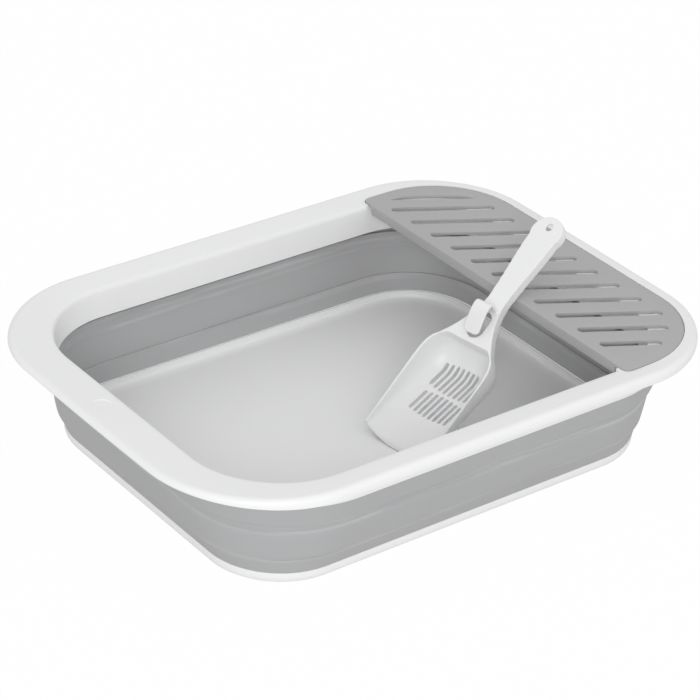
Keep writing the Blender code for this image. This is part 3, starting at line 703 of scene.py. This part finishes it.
def slot_cutter_tree():
    """Round-ended slots: one prism for each point, as long as the point's own run."""
    tree, start, end = group_tree("Slot Cutters", "GeometryNodeTree", (
        ("Geometry", "Geometry", None),
        ("Width", "Float", 0.0085),
        ("Height", "Float", 0.02),
        ("Angle", "Float", 0.0),
        ("Sides", "Int", 32),
        ("Material", "Material", None),
    ), (("Geometry", "Geometry"),))
    w = Wire(tree)
    ins = start.outputs
    peg = w.fed("GeometryNodeMeshCylinder", {
        "Vertices": ins["Sides"], "Radius": w.math("MULTIPLY", ins["Width"], 0.5), "Depth": ins["Height"],
    }, fill_type="NGON")
    # Each half of a peg is marked with the way it moves, by a ramp so steep that it only leaves -1 and 1.
    across = w.node("ShaderNodeSeparateXYZ", w.node("GeometryNodeInputPosition")).outputs["X"]
    steep = w.math("DIVIDE", across, w.math("MULTIPLY", ins["Width"], 0.01))
    marked = w.fed("GeometryNodeStoreNamedAttribute", {
        "Geometry": peg.outputs["Mesh"], "Name": "side",
        "Value": w.math("MAXIMUM", w.math("MINIMUM", steep, 1.0), -1.0),
    }, data_type="FLOAT", domain="POINT")
    pegs = w.fed("GeometryNodeInstanceOnPoints", {"Points": ins["Geometry"], "Instance": marked})
    real = w.node("GeometryNodeRealizeInstances", pegs)
    run, side = (w.fed("GeometryNodeInputNamedAttribute", {"Name": name}, data_type="FLOAT")
                 for name in ("run", "side"))
    push = w.math("MULTIPLY", w.math("MULTIPLY", run, side), 0.5)
    turned = w.fed("ShaderNodeVectorRotate", {"Vector": w.node("ShaderNodeCombineXYZ", push),
                                              "Angle": ins["Angle"]}, rotation_type="Z_AXIS")
    spread = w.fed("GeometryNodeSetPosition", {"Geometry": real, "Offset": turned})
    painted = w.fed("GeometryNodeSetMaterial", {"Geometry": spread, "Material": ins["Material"]})
    w.put(end.inputs["Geometry"], painted)
    return tree


def run_tree(target, tree, **values):
    """Adds a Geometry Nodes modifier, sets its inputs by their identifiers and bakes it."""
    step = target.modifiers.new(tree.name, "NODES")
    step.node_group = tree
    ids = {item.name: item.identifier for item in tree.interface.items_tree if item.in_out == "INPUT"}
    for label, value in values.items():
        step[ids[label.replace("_", " ")]] = value
    return baked(target)


def slot_cutters(name, centres, runs, width, height, angle, sides, material):
    """Prisms for a row of slots, from their centres and lengths."""
    mesh = bpy.data.meshes.new(name)
    mesh.from_pydata(centres, [], [])
    mesh.attributes.new("run", "FLOAT", "POINT").data.foreach_set("value", runs)
    points = bpy.data.objects.new(name, mesh)
    bpy.context.scene.collection.objects.link(points)
    tree = bpy.data.node_groups.get("Slot Cutters") or slot_cutter_tree()
    return run_tree(points, tree, Width=width, Height=height, Angle=angle, Sides=sides, Material=material)


def shelf_slots(s):
    """Centre and run of each slot, shortened where the shelf's outline comes close, as on the CAD shelf."""
    slope = math.tan(s.slot_angle)
    count = int((2 * SHELF_HIGH.y - s.first_inset - s.last_inset) / s.slot_pitch) + 1
    limit = s.margin + s.slot_width / 2
    step = 0.0005
    found = []
    for k in range(count):
        x0 = SHELF_LOW.x + s.slot_start + s.slot_width / 2
        y0 = SHELF_HIGH.y - s.first_inset - s.slot_pitch * k
        x1 = SHELF_LOW.x + s.slot_start + s.slot_run - s.slot_width / 2
        while x1 > x0 and x1 > shelf_reach(s, y0 + (x1 - x0) * slope, limit):
            x1 -= step
        y1 = y0 + (x1 - x0) * slope
        found.append((((x0 + x1) / 2, (y0 + y1) / 2), math.hypot(x1 - x0, y1 - y0)))
    return found


def shelf_reach(s, y, margin):
    """How far +X the shelf reaches at y, less a margin."""
    radius = s.corner - margin
    over = abs(y) - (SHELF_HIGH.y - s.corner)
    if over <= 0:
        return SHELF_HIGH.x - margin
    if over >= radius:
        return -math.inf
    return SHELF_HIGH.x - s.corner + math.sqrt(radius * radius - over * over)


def crescent_points(s):
    """The first opening: straight along the slots' slant, curved along the shelf's corner."""
    slope = math.tan(s.slot_angle)
    base_y = SHELF_HIGH.y - s.first_inset + s.slot_pitch - s.slot_width / 2
    x0 = SHELF_LOW.x + s.slot_start
    radius = s.corner - s.margin

    def chord(x):
        return base_y + (x - x0) * slope

    def rise(x):
        over = max(0.0, x - (SHELF_HIGH.x - s.corner))
        arc = SHELF_HIGH.y - s.corner + math.sqrt(max(0.0, radius * radius - over * over))
        return min(arc, chord(x) + s.slot_width) - chord(x)

    # It starts where it is this wide. Its ends are blunt: a power of the sine, and a least share of width.
    least_width = 0.0012
    bluntness = 0.35
    end_share = 0.15
    samples = 400
    steps = 40
    xs = [x0 + s.slot_run * k / samples for k in range(samples)]
    inside = [x for x in xs if rise(x) > least_width]
    low, high = inside[0], inside[-1]
    top = []
    for k in range(steps + 1):
        x = high + (low - high) * k / steps
        ease = math.sin(math.pi * k / steps) ** bluntness if 0 < k < steps else 0.0
        top.append((x, chord(x) + rise(x) * max(ease, end_share)))
    return [(low, chord(low)), (high, chord(high))] + top


class LITTERBOX_OT_shelf(bpy.types.Operator):
    """Builds the slotted paw shelf with its front lip"""
    bl_idname = "litterbox.shelf"
    bl_label = "Paw shelf"

    # How far the lip runs up into the plate, the height of a slot's cutter and the points round its ends.
    LAP = 0.0005
    CUTTER_HEIGHT = 0.02
    SLOT_SIDES = 48
    # Edges sharper than this angle in degrees are rounded, and those sharper than the next stay crisp.
    ROUNDED = 50
    CRISP = 40

    def execute(self, context):
        s = context.scene.litterbox_shelf
        rim = context.scene.litterbox_rim
        material = finishes()["satin_grey_shelf"]
        top, low = SHELF_HIGH.z, SHELF_HIGH.z - s.plate
        made = mesh_object("paw_shelf_plate", prism(shelf_points(0.0), low, top))
        reach = RIM_HIGH.y - rim.flange_side - rim.collar_draft_side - 2 * rim.shelf_gap
        front, back = SHELF_LOW.x, SHELF_LOW.x + s.lip_wall
        lip = prism([(front, -reach), (back, -reach), (back, reach), (front, reach)], SHELF_LOW.z,
                    low + self.LAP)
        cut(made, [mesh_object("lip", lip)], "UNION")
        slots = shelf_slots(s)
        centres = [(x, y, (top + low) / 2) for (x, y), run in slots]
        runs = [run for centre, run in slots]
        cutters = slot_cutters("slots", centres, runs, s.slot_width, self.CUTTER_HEIGHT, s.slot_angle,
                               self.SLOT_SIDES, material)
        crescent = mesh_object("crescent", prism(crescent_points(s), low - PAST, top + PAST))
        cut(made, [cutters, crescent])
        bevelled(made, s.edge, self.ROUNDED)
        smooth(made, self.CRISP)
        place(made, "shelf", "paw_shelf", "shelf_grey", material)
        return {"FINISHED"}


def band_tree():
    """One wall band: a grid wrapped round two rounded rectangles, one at its crease and one at its foot."""
    sizes = (("Top Length", 0.44), ("Top Width", 0.35), ("Top Corner", 0.08), ("Foot Length", 0.43),
             ("Foot Width", 0.34), ("Foot Corner", 0.08), ("Foot Height", 0.02), ("Crease Height", 0.05),
             ("Top Height", 0.06), ("Swell", 0.0), ("Roll", 0.003), ("Tuck", 0.0), ("Bead Height", 0.05),
             ("Bead Width", 0.006), ("Bead Rise", 0.0))
    tree, start, end = group_tree("Wall Band", "GeometryNodeTree", (
        ("Geometry", "Geometry", None),
        *((label, "Float", default) for label, default in sizes),
        ("Around", "Int", 360),
        ("Rows", "Int", 28),
        ("Material", "Material", None),
    ), (("Geometry", "Geometry"),))
    w = Wire(tree)
    ins = start.outputs
    corner_points = 64
    weld = 0.00002

    def outline(place):
        """The band's rounded rectangle at its top or at its foot."""
        box = w.fed("GeometryNodeCurvePrimitiveQuadrilateral", {
            "Width": ins[place + " Length"], "Height": ins[place + " Width"],
        }, mode="RECTANGLE")
        return w.fed("GeometryNodeFilletCurve", {
            "Curve": box, "Radius": ins[place + " Corner"], "Count": corner_points, "Limit Radius": True,
        }, mode="POLY")

    # A unit grid: its X runs round the box and its Y up the band.
    grid = w.node("GeometryNodeMeshGrid", 1.0, 1.0, w.math("ADD", ins["Around"], 1.0), ins["Rows"])
    place_in = w.node("ShaderNodeSeparateXYZ", w.node("GeometryNodeInputPosition"))
    around = w.math("FRACT", w.math("ADD", place_in.outputs["X"], 0.5))
    up = w.math("ADD", place_in.outputs["Y"], 0.5)
    stand = w.math("SUBTRACT", ins["Top Height"], ins["Foot Height"])
    height = w.math("ADD", ins["Foot Height"], w.math("MULTIPLY", up, stand))
    rise = w.math("SUBTRACT", height, ins["Foot Height"])
    span = w.math("SUBTRACT", ins["Crease Height"], ins["Foot Height"])
    share = w.math("MINIMUM", w.math("DIVIDE", rise, span), 1.0)

    top, foot = (w.fed("GeometryNodeSampleCurve", {"Curves": outline(place), "Factor": around}, mode="FACTOR",
                       use_all_curves=True) for place in ("Top", "Foot"))
    mix = w.node("ShaderNodeMix", data_type="VECTOR")
    w.put(mix.inputs[0], share)
    w.put(mix.inputs[4], foot.outputs["Position"])
    w.put(mix.inputs[5], top.outputs["Position"])
    out = w.vector("CROSS_PRODUCT", top.outputs["Tangent"], (0.0, 0.0, 1.0))

    # Three small pushes outwards or inwards: the swell, the crease that rolls in, and the bead inside.
    bulge = w.math("MULTIPLY", w.math("MULTIPLY", share, w.math("SUBTRACT", 1.0, share)), 4.0)
    push = w.math("MULTIPLY", bulge, ins["Swell"])
    near_foot = w.math("MAXIMUM", w.math("SUBTRACT", 1.0, w.math("DIVIDE", rise, ins["Roll"])), 0.0)
    tuck = w.math("MULTIPLY", w.math("MULTIPLY", near_foot, near_foot), ins["Tuck"])
    off = w.math("DIVIDE", w.math("SUBTRACT", height, ins["Bead Height"]),
                 w.math("MULTIPLY", ins["Bead Width"], 0.5))
    round_top = w.math("MAXIMUM", w.math("SUBTRACT", 1.0, w.math("MULTIPLY", off, off)), 0.0)
    bead = w.math("MULTIPLY", w.math("MULTIPLY", round_top, round_top), ins["Bead Rise"])
    total = w.math("SUBTRACT", w.math("SUBTRACT", push, tuck), bead)
    flat = w.vector("ADD", mix.outputs[1], w.scaled(out, total))
    spot = w.vector("ADD", flat, w.node("ShaderNodeCombineXYZ", 0.0, 0.0, height).outputs[0])
    moved = w.fed("GeometryNodeSetPosition", {"Geometry": grid.outputs["Mesh"], "Position": spot})
    merged = w.fed("GeometryNodeMergeByDistance", {"Geometry": moved, "Distance": weld})
    real = w.node("GeometryNodeRealizeInstances", merged)
    painted = w.fed("GeometryNodeSetMaterial", {"Geometry": real, "Material": ins["Material"]})
    w.put(end.inputs["Geometry"], painted)
    return tree


def wall_band(name, tree, s, top, foot, heights, tuck, bead, material):
    """Runs the band tree, then gives the sheet its thickness and rounds its two edges."""
    foot_z, crease_z, top_z = heights
    # Rounding of an edge in thicknesses of the band, and the angle in degrees from which it counts as one.
    edge_share = 0.35
    crisp = 60
    made = mesh_object(name, bmesh.new())
    run_tree(made, tree, Top_Length=2 * top.a, Top_Width=2 * top.b, Top_Corner=top.corner,
             Foot_Length=2 * foot.a, Foot_Width=2 * foot.b, Foot_Corner=foot.corner, Foot_Height=foot_z,
             Crease_Height=crease_z, Top_Height=top_z, Swell=s.swell, Roll=s.roll, Tuck=tuck,
             Bead_Height=s.crease_high - s.bead_drop, Bead_Width=s.bead_width, Bead_Rise=bead,
             Around=s.around, Rows=s.rows, Material=material)
    bm = bmesh.new()
    bm.from_mesh(made.data)
    bmesh.ops.recalc_face_normals(bm, faces=bm.faces)
    outermost = max(bm.faces, key=lambda face: face.calc_center_median().x)
    if outermost.normal.x < 0:
        bmesh.ops.reverse_faces(bm, faces=bm.faces)
    bm.to_mesh(made.data)
    bm.free()
    wall = made.modifiers.new("Wall", "SOLIDIFY")
    wall.thickness = s.band
    wall.offset = -1.0
    bevelled(made, s.band * edge_share, crisp)
    return smooth(made, crisp)


class LITTERBOX_OT_wall(bpy.types.Operator):
    """Builds the three nesting bands of the soft wall"""
    bl_idname = "litterbox.wall"
    bl_label = "Wall bands"

    def execute(self, context):
        s = context.scene.litterbox_wall
        material = finishes()["soft_grey_wall"]
        tree = band_tree()
        step = s.band + s.gap
        upper = wall_top()
        upper_foot = upper.tapered(s.taper_upper_end, s.taper_upper, s.taper_upper_end)
        middle = upper_foot.offset(-step)
        middle_foot = middle.tapered(s.taper_middle_end, s.taper_middle, s.corner_loss)
        lower = middle_foot.offset(-step)
        lower_foot = lower.tapered(s.taper_lower_end, s.taper_lower, s.corner_loss)
        skirt_foot = RIM_HIGH.z - context.scene.litterbox_rim.skirt_depth
        bands = (
            ("wall_upper_sleeve", "rim", "wall_upper_band", upper, upper_foot,
             (UPPER_LOW.z, skirt_foot, UPPER_HIGH.z), s.tuck, 0.0),
            ("wall_middle_sleeve", "middle_wall", "wall_middle_band", middle, middle_foot,
             (MIDDLE_LOW.z, s.crease_high - s.gap, MIDDLE_HIGH.z), s.tuck, s.bead_rise),
            ("wall_lower_sleeve", "base", "wall_lower_band", lower, lower_foot,
             (LOWER_LOW.z, s.crease_low - s.gap, LOWER_HIGH.z), 0.0, 0.0),
        )
        for name, body, node, top, foot, heights, tuck, bead in bands:
            made = wall_band(name, tree, s, top, foot, heights, tuck, bead, material)
            place(made, body, node, "wall_grey", material)
        return {"FINISHED"}


class LITTERBOX_OT_base(bpy.types.Operator):
    """Builds the base tray with its turned-up edge, floor and foot ring"""
    bl_idname = "litterbox.base"
    bl_label = "Base tray"

    # How far the foot ring's inner face leans.
    RING_LEAN = 0.001
    # Where the inside turns into the floor: in roundings above the floor, then in metres above it.
    TURN_HIGH = 0.8
    TURN_LOW = 0.001
    # From the last ring of the section, below and above, to the flat middle.
    MIDDLE_INSET = 0.004
    # Edges sharper than this angle in degrees stay crisp.
    CRISP = 40

    def execute(self, context):
        s = context.scene.litterbox_base
        wall = context.scene.litterbox_wall
        loss = 2 * wall.corner_loss + 2 * (wall.band + wall.gap) + wall.taper_upper_end
        edge = Outline(BASE_HIGH.x, BASE_HIGH.y, wall.top_corner - loss)
        foot = edge.offset(-s.rounding)
        inside = edge.offset(-s.wall)
        under = foot.offset(-s.foot_width)
        top = BASE_HIGH.z
        floor = s.foot_height + s.floor
        # Each ring of the section, with the radius that rounds its corner.
        section = (
            (level(under.offset(-self.RING_LEAN), s.foot_height), 0.0006),
            (level(under, 0.0), 0.0006),
            (level(foot, 0.0), 0.0012),
            (level(edge.offset(-s.rounding * MID_ARC), s.rounding * MID_ARC), 0.0016),
            (level(edge, s.rounding), 0.0016),
            (level(edge, top), 0.0008),
            (level(inside, top), 0.0008),
            (level(inside, floor + s.rounding * self.TURN_HIGH), 0.0020),
            (level(inside.offset(-s.rounding * MID_ARC), floor + self.TURN_LOW), 0.0012),
            (level(inside.offset(-s.rounding), floor), 0.0020),
        )
        rings = rounded(*zip(*section), closed=False)
        below = level(under.offset(-self.MIDDLE_INSET), s.foot_height)
        above = level(inside.offset(-s.rounding - self.MIDDLE_INSET), floor)
        made = smooth(mesh_object("base_tray_moulding", skin([below] + rings + [above], False)), self.CRISP)
        place(made, "base", "base_tray", "base_white", finishes()["satin_white_plastic"])
        return {"FINISHED"}


class ScoopShape:
    """The scoop on its own X axis: lip at 0, handle end at its length, rim plane at height 0."""

    # The bowl's back ends at this share of the curves that close it, inside the handle's root.
    BACK = 0.95
    # Inner and outer power of those curves, seen from above and from the side.
    PLAN_POWERS = (3, 0.36)
    SIDE_POWERS = (2.2, 0.45)
    # Power by which the handle widens towards the bowl.
    ROOT_POWER = 1.8
    # Where the handle runs into its round end and how wide it is there, in radii of that end.
    LOBE_BACK = 0.44
    LOBE_HALF = 0.9
    # The channel starts this many walls behind the handle's root.
    CHANNEL_START = 4
    # Powers that crowd the sections towards the bowl's back and towards the tongue's tip.
    BOWL_CROWD = 1.6
    TONGUE_CROWD = 1.5
    # The tongue's foot lies below the rim plane. Its curve leans back, then forth, and aims past its height.
    TONGUE_SINK = 0.001
    TONGUE_BACK = 0.003
    TONGUE_FORTH = 0.001
    TONGUE_AIM = 1.3
    # Height of the tongue's tip in walls, and the radius of its corners as a share of its width.
    TIP_WALLS = 1.3
    TIP_ROUND = 0.25

    def __init__(self, s):
        self.s = s

    def closing(self, u, begin, powers):
        """Falls from 1 where the bowl's back begins, along a curve that closes just past its end."""
        inner, outer = powers
        share = (u - begin) / (self.s.bowl_length - begin) * self.BACK
        return (1 - share ** inner) ** outer

    def half_width(self, u):
        s = self.s
        begin = s.bowl_length * s.shoulder
        if u <= begin:
            return s.bowl_width / 2
        return s.bowl_width / 2 * self.closing(u, begin, self.PLAN_POWERS)

    def depth(self, u):
        s = self.s
        deepest = s.bowl_length * s.deepest
        if u <= deepest:
            return s.lip_depth + (s.bowl_depth - s.lip_depth) * u / deepest
        return s.bowl_depth * self.closing(u, deepest, self.SIDE_POWERS)

    def lip_pull(self, u, y):
        """How far the lip's sides stand back from its middle."""
        s = self.s
        return s.lip_bow * max(0.0, 1 - u / (s.bowl_length * s.lip_reach)) * (y / (s.bowl_width / 2)) ** 2

    def bowl(self, shrink, top, first, last, rows=48, across=56):
        """A solid that fills the bowl, smaller all round by shrink."""
        rings = []
        for k in range(rows + 1):
            u = first + (last - first) * (1 - (1 - k / rows) ** self.BOWL_CROWD)
            half = self.half_width(max(0.0, u)) - shrink
            deep = self.depth(max(0.0, u)) - shrink
            edge = u + self.lip_pull(u, half)
            ring = [(edge, half, top), (edge, -half, top)]
            for j in range(across + 1):
                turn = math.pi * j / across
                c = math.cos(turn)
                y = -half * math.copysign(abs(c) ** self.s.square, c)
                z = -deep * math.sin(turn) ** self.s.square if 0 < j < across else 0.0
                ring.append((u + self.lip_pull(u, y), y, z))
            rings.append(ring)
        return skin(rings, False)

    def handle_half(self, u):
        s = self.s
        root = s.bowl_length - s.lap
        neck = s.bowl_length + s.neck_back
        radius = s.wide / 2
        centre = s.length - radius
        shoulder = centre - radius * self.LOBE_BACK
        if u < neck:
            t = (neck - u) / (neck - root)
            return s.neck / 2 + (s.root * s.bowl_width - s.neck) / 2 * t ** self.ROOT_POWER
        if u < shoulder:
            t = (u - neck) / (shoulder - neck)
            return s.neck / 2 + (radius * self.LOBE_HALF - s.neck / 2) * t * t * (3 - 2 * t)
        return math.sqrt(max(0.0, radius * radius - (u - centre) ** 2))

    def handle(self, shrink, steps=90, cap_steps=48):
        """The handle seen from above, smaller all round by shrink."""
        s = self.s
        radius = s.wide / 2 - shrink
        end = s.length - s.wide / 2
        us = np.linspace(s.bowl_length - s.lap + shrink * self.CHANNEL_START, end, steps)
        right = [(u, -self.handle_half(u) + shrink) for u in us]
        turns = [math.pi * k / cap_steps for k in range(1, cap_steps)]
        cap = [(end + radius * math.sin(turn), -radius * math.cos(turn)) for turn in turns]
        return right + cap + [(u, -y) for u, y in right[::-1]]

    def tongue(self, rows=40):
        """The clip tongue rises behind the window and comes forward over it, down to a squarish free end."""
        s = self.s
        foot = s.bowl_length + s.window_land + s.window_length + s.wall
        tip = s.bowl_length + s.window_land + s.tongue_short
        high = s.tongue_rise * self.TONGUE_AIM
        route = [Vector(p) for p in ((foot, -self.TONGUE_SINK), (foot + self.TONGUE_BACK, high),
                                     (foot - self.TONGUE_FORTH, high), (tip, s.wall * self.TIP_WALLS))]
        radius = s.tongue * self.TIP_ROUND
        rings = []
        for k in range(rows + 1):
            t = 1 - (1 - k / rows) ** self.TONGUE_CROWD
            weights = ((1 - t) ** 3, 3 * t * (1 - t) ** 2, 3 * t * t * (1 - t), t ** 3)
            spot = sum((p * weight for p, weight in zip(route, weights)), Vector((0.0, 0.0)))
            steps = ((1 - t) ** 2, 2 * t * (1 - t), t * t)
            heading = sum(((q - p) * weight for p, q, weight in zip(route, route[1:], steps)),
                          Vector((0.0, 0.0)))
            across = heading.normalized().orthogonal() * s.wall / 2
            left = max(0.0, spot.x - tip)
            half = s.tongue / 2 - radius + math.sqrt(radius ** 2 - max(0.0, radius - left) ** 2)
            top, low = spot + across, spot - across
            rings.append([(top.x, half, top.y), (top.x, -half, top.y), (low.x, -half, low.y),
                          (low.x, half, low.y)])
        return skin(rings, False)


def capsule(start, end, width, steps=24):
    """A slot's outline with round ends, along the scoop's axis."""
    points = []
    for centre, turn in ((end, -math.pi / 2), (start, math.pi / 2)):
        for k in range(steps + 1):
            angle = turn + math.pi * k / steps
            points.append((centre + width / 2 * math.cos(angle), width / 2 * math.sin(angle)))
    return points


def scoop_slits(s, material):
    """Two rows of slits through the bowl's floor, shorter towards the sides."""
    # How far the cutters reach below and above the floor's middle besides its depth, how much shorter a
    # slit is for its distance from the middle squared, and the points round a slit's ends.
    past = 0.004
    fade = 10.0
    sides = 24
    across = int((s.bowl_width - 2 * s.slit_margin) / s.slit_pitch) + 1
    deep = -(s.bowl_depth + s.lip_depth) / 2 - past
    centres, runs = [], []
    for row, count, run in ((s.slit_back, across, s.slit_long), (s.slit_front, across - 1, s.slit_short)):
        for k in range(count):
            y = (k - (count - 1) / 2) * s.slit_pitch
            centres.append((s.bowl_length * row, y, deep))
            runs.append(run - s.slit - fade * y * y)
    height = s.bowl_depth - s.lip_depth + 2 * past
    return slot_cutters("slits", centres, runs, s.slit, height, 0.0, sides, material)


class LITTERBOX_OT_scoop(bpy.types.Operator):
    """Builds the scoop, leaning with its lip on the floor and its handle on the shelf's edge"""
    bl_idname = "litterbox.scoop"
    bl_label = "Scoop"

    # How far the bowl's cavity reaches above the rim plane and out past the lip.
    CAVITY_OVER = 0.003
    CAVITY_AHEAD = 0.012
    # Plastic that the channel leaves under the handle's top face besides the wall.
    CHANNEL_SPARE = 0.0003
    # How far the window's cutter reaches above the rim plane, and half the hanging hole's straight run.
    NIP = 0.0005

    def execute(self, context):
        s = context.scene.litterbox_scoop
        material = finishes()["scoop_white_plastic"]
        shape = ScoopShape(s)
        deep = s.handle_depth
        made = mesh_object("litter_scoop_moulding", shape.bowl(0.0, 0.0, 0.0, s.bowl_length))
        cut(made, [mesh_object("handle", prism(shape.handle(0.0), -deep, 0.0)),
                   mesh_object("tongue", shape.tongue())], "UNION")
        first = s.bowl_length + s.window_land + s.window_width / 2
        window = capsule(first, first + s.window_length - s.window_width, s.window_width)
        spot = s.length - s.hole_inset
        hole = capsule(spot - self.NIP, spot + self.NIP, s.hole)
        cavity = shape.bowl(s.wall, self.CAVITY_OVER, -self.CAVITY_AHEAD, s.bowl_length - s.wall)
        channel_top = -s.wall - self.CHANNEL_SPARE
        cut(made, [
            mesh_object("cavity", cavity),
            mesh_object("channel", prism(shape.handle(s.wall), -deep - PAST, channel_top)),
            mesh_object("window", prism(window, -deep - PAST, self.NIP)),
            mesh_object("hole", prism(hole, -deep - PAST, PAST)),
            scoop_slits(s, material),
        ])
        remesh = made.modifiers.new("Moulded surface", "REMESH")
        remesh.mode = "VOXEL"
        remesh.voxel_size = s.voxel
        soften = made.modifiers.new("Soft edges", "SMOOTH")
        soften.factor = 0.5
        soften.iterations = s.soften
        thin = made.modifiers.new("Fewer facets", "DECIMATE")
        thin.ratio = s.keep
        baked(made)
        made.data.transform(self.rest_pose(context.scene))
        made.data.shade_smooth()
        place(made, "scoop", "litter_scoop", "scoop_white", material)
        return {"FINISHED"}

    def rest_pose(self, scene):
        """From the scoop's own axis to its place on the shelf's edge, about the CAD joint."""
        s = scene.litterbox_scoop
        base = scene.litterbox_base
        axis = Vector(LEAN["axis"])
        heading = math.atan2(-axis.x, axis.y)
        pivot = Vector(LEAN["pos_m"])
        back = s.handle_depth - s.lip_depth
        rise = pivot.z - BASE_LOW.z - base.foot_height - base.floor - scene.litterbox_wall.gap
        tilt = math.asin(rise / math.hypot(s.rest, back)) + math.atan2(back, s.rest)
        turn = Matrix.Rotation(heading, 4, "Z") @ Matrix.Rotation(-tilt, 4, "Y")
        return Matrix.Translation(pivot) @ turn @ Matrix.Translation((-s.rest, 0.0, s.handle_depth))


class LITTERBOX_OT_stage(bpy.types.Operator):
    """Sets the floor, the soft lamps, the pale world and the camera"""
    bl_idname = "litterbox.stage"
    bl_label = "Stage"

    def execute(self, context):
        scene = context.scene
        s = scene.litterbox_stage
        self.floor(s)
        self.world(scene, s)
        for (name, spot, width), power in zip(LAMPS, (s.key, s.fill)):
            self.lamp(scene, name, spot, width, power)
        self.camera(scene, s)
        scene.view_settings.view_transform = "Standard"
        return {"FINISHED"}

    def floor(self, s):
        """A matt white floor that glows a little, and nearly fully for the camera."""
        bm = bmesh.new()
        bmesh.ops.create_grid(bm, x_segments=1, y_segments=1, size=FLOOR_REACH)
        bmesh.ops.translate(bm, vec=(0.0, 0.0, -HAIR), verts=bm.verts)
        floor = mesh_object("studio_floor", bm)
        material = bpy.data.materials.new("studio_floor_paint")
        material.use_nodes = True
        tree = material.node_tree
        w = Wire(tree)
        shader = tree.nodes["Principled BSDF"]
        w.feed(shader, {"Base Color": (*s.floor, 1.0), "Roughness": 0.9, "Specular IOR Level": 0.0})
        glow = w.node("ShaderNodeEmission", (1.0, 1.0, 1.0, 1.0), 1.0)
        seen = w.node("ShaderNodeLightPath").outputs["Is Camera Ray"]
        share = w.math("ADD", w.math("MULTIPLY", seen, s.floor_seen - s.floor_glow), s.floor_glow)
        mix = w.node("ShaderNodeMixShader", share, shader.outputs[0], glow)
        w.put(tree.nodes["Material Output"].inputs["Surface"], mix)
        floor.data.materials.append(material)

    def world(self, scene, s):
        """A white background whose light on the pieces has the strength that is asked for."""
        world = bpy.data.worlds.new("pale_room")
        scene.world = world
        world.use_nodes = True
        w = Wire(world.node_tree)
        back = world.node_tree.nodes["Background"]
        path = w.node("ShaderNodeLightPath")
        seen = w.math("MAXIMUM", path.outputs["Is Camera Ray"], path.outputs["Is Transmission Ray"])
        strength = w.math("ADD", w.math("MULTIPLY", seen, 1.0 - s.world), s.world)
        w.feed(back, {"Color": (1.0, 1.0, 1.0, 1.0), "Strength": strength})

    def lamp(self, scene, name, spot, width, power):
        data = bpy.data.lights.new(name, "AREA")
        data.shape = "DISK"
        data.size = width
        data.energy = power
        lamp = bpy.data.objects.new(name, data)
        lamp.location = spot
        lamp.rotation_euler = (LAMP_TARGET - Vector(spot)).to_track_quat("-Z", "Y").to_euler()
        scene.collection.objects.link(lamp)

    def camera(self, scene, s):
        """The camera stands where a fit to the rim, the base and the shelf's slots puts it."""
        flat = math.cos(s.elevation)
        back = Vector((math.sin(s.azimuth) * flat, -math.cos(s.azimuth) * flat, math.sin(s.elevation)))
        across = Vector((0.0, 0.0, 1.0)).cross(back).normalized()
        up = back.cross(across)
        right = across * math.cos(s.roll) + up * math.sin(s.roll)
        top = up * math.cos(s.roll) - across * math.sin(s.roll)
        spot = Vector(s.target) + back * s.distance
        data = bpy.data.cameras.new("camera")
        data.sensor_width = SENSOR_WIDTH
        data.lens = s.lens
        camera = bpy.data.objects.new("camera", data)
        columns = [(*column, 0.0) for column in (right, top, back)] + [(*spot, 1.0)]
        camera.matrix_world = Matrix(columns).transposed()
        scene.collection.objects.link(camera)
        scene.camera = camera


SETTINGS = (
    ("litterbox_rim", LitterBoxRim),
    ("litterbox_wall", LitterBoxWall),
    ("litterbox_base", LitterBoxBase),
    ("litterbox_shelf", LitterBoxShelf),
    ("litterbox_scoop", LitterBoxScoop),
    ("litterbox_finish", LitterBoxFinish),
    ("litterbox_stage", LitterBoxStage),
)
OPERATORS = (LITTERBOX_OT_rim, LITTERBOX_OT_wall, LITTERBOX_OT_base, LITTERBOX_OT_shelf, LITTERBOX_OT_scoop,
             LITTERBOX_OT_stage)


class LITTERBOX_PT_panel(bpy.types.Panel):
    bl_idname = "LITTERBOX_PT_panel"
    bl_label = "Foldable Litter Box"
    bl_space_type = "VIEW_3D"
    bl_region_type = "UI"
    bl_category = "Litter Box"

    def draw(self, context):
        for operator in OPERATORS:
            self.layout.operator(operator.bl_idname)


def register():
    for name, group in SETTINGS:
        bpy.utils.register_class(group)
        setattr(bpy.types.Scene, name, bpy.props.PointerProperty(type=group))
    for operator in OPERATORS:
        bpy.utils.register_class(operator)
    bpy.utils.register_class(LITTERBOX_PT_panel)


def unregister():
    bpy.utils.unregister_class(LITTERBOX_PT_panel)
    for operator in reversed(OPERATORS):
        bpy.utils.unregister_class(operator)
    for name, group in reversed(SETTINGS):
        delattr(bpy.types.Scene, name)
        bpy.utils.unregister_class(group)


def main():
    register()
    bpy.ops.litterbox.stage()
    bpy.ops.litterbox.rim()
    bpy.ops.litterbox.wall()
    bpy.ops.litterbox.base()
    bpy.ops.litterbox.shelf()
    bpy.ops.litterbox.scoop()


if __name__ == "__main__":
    main()
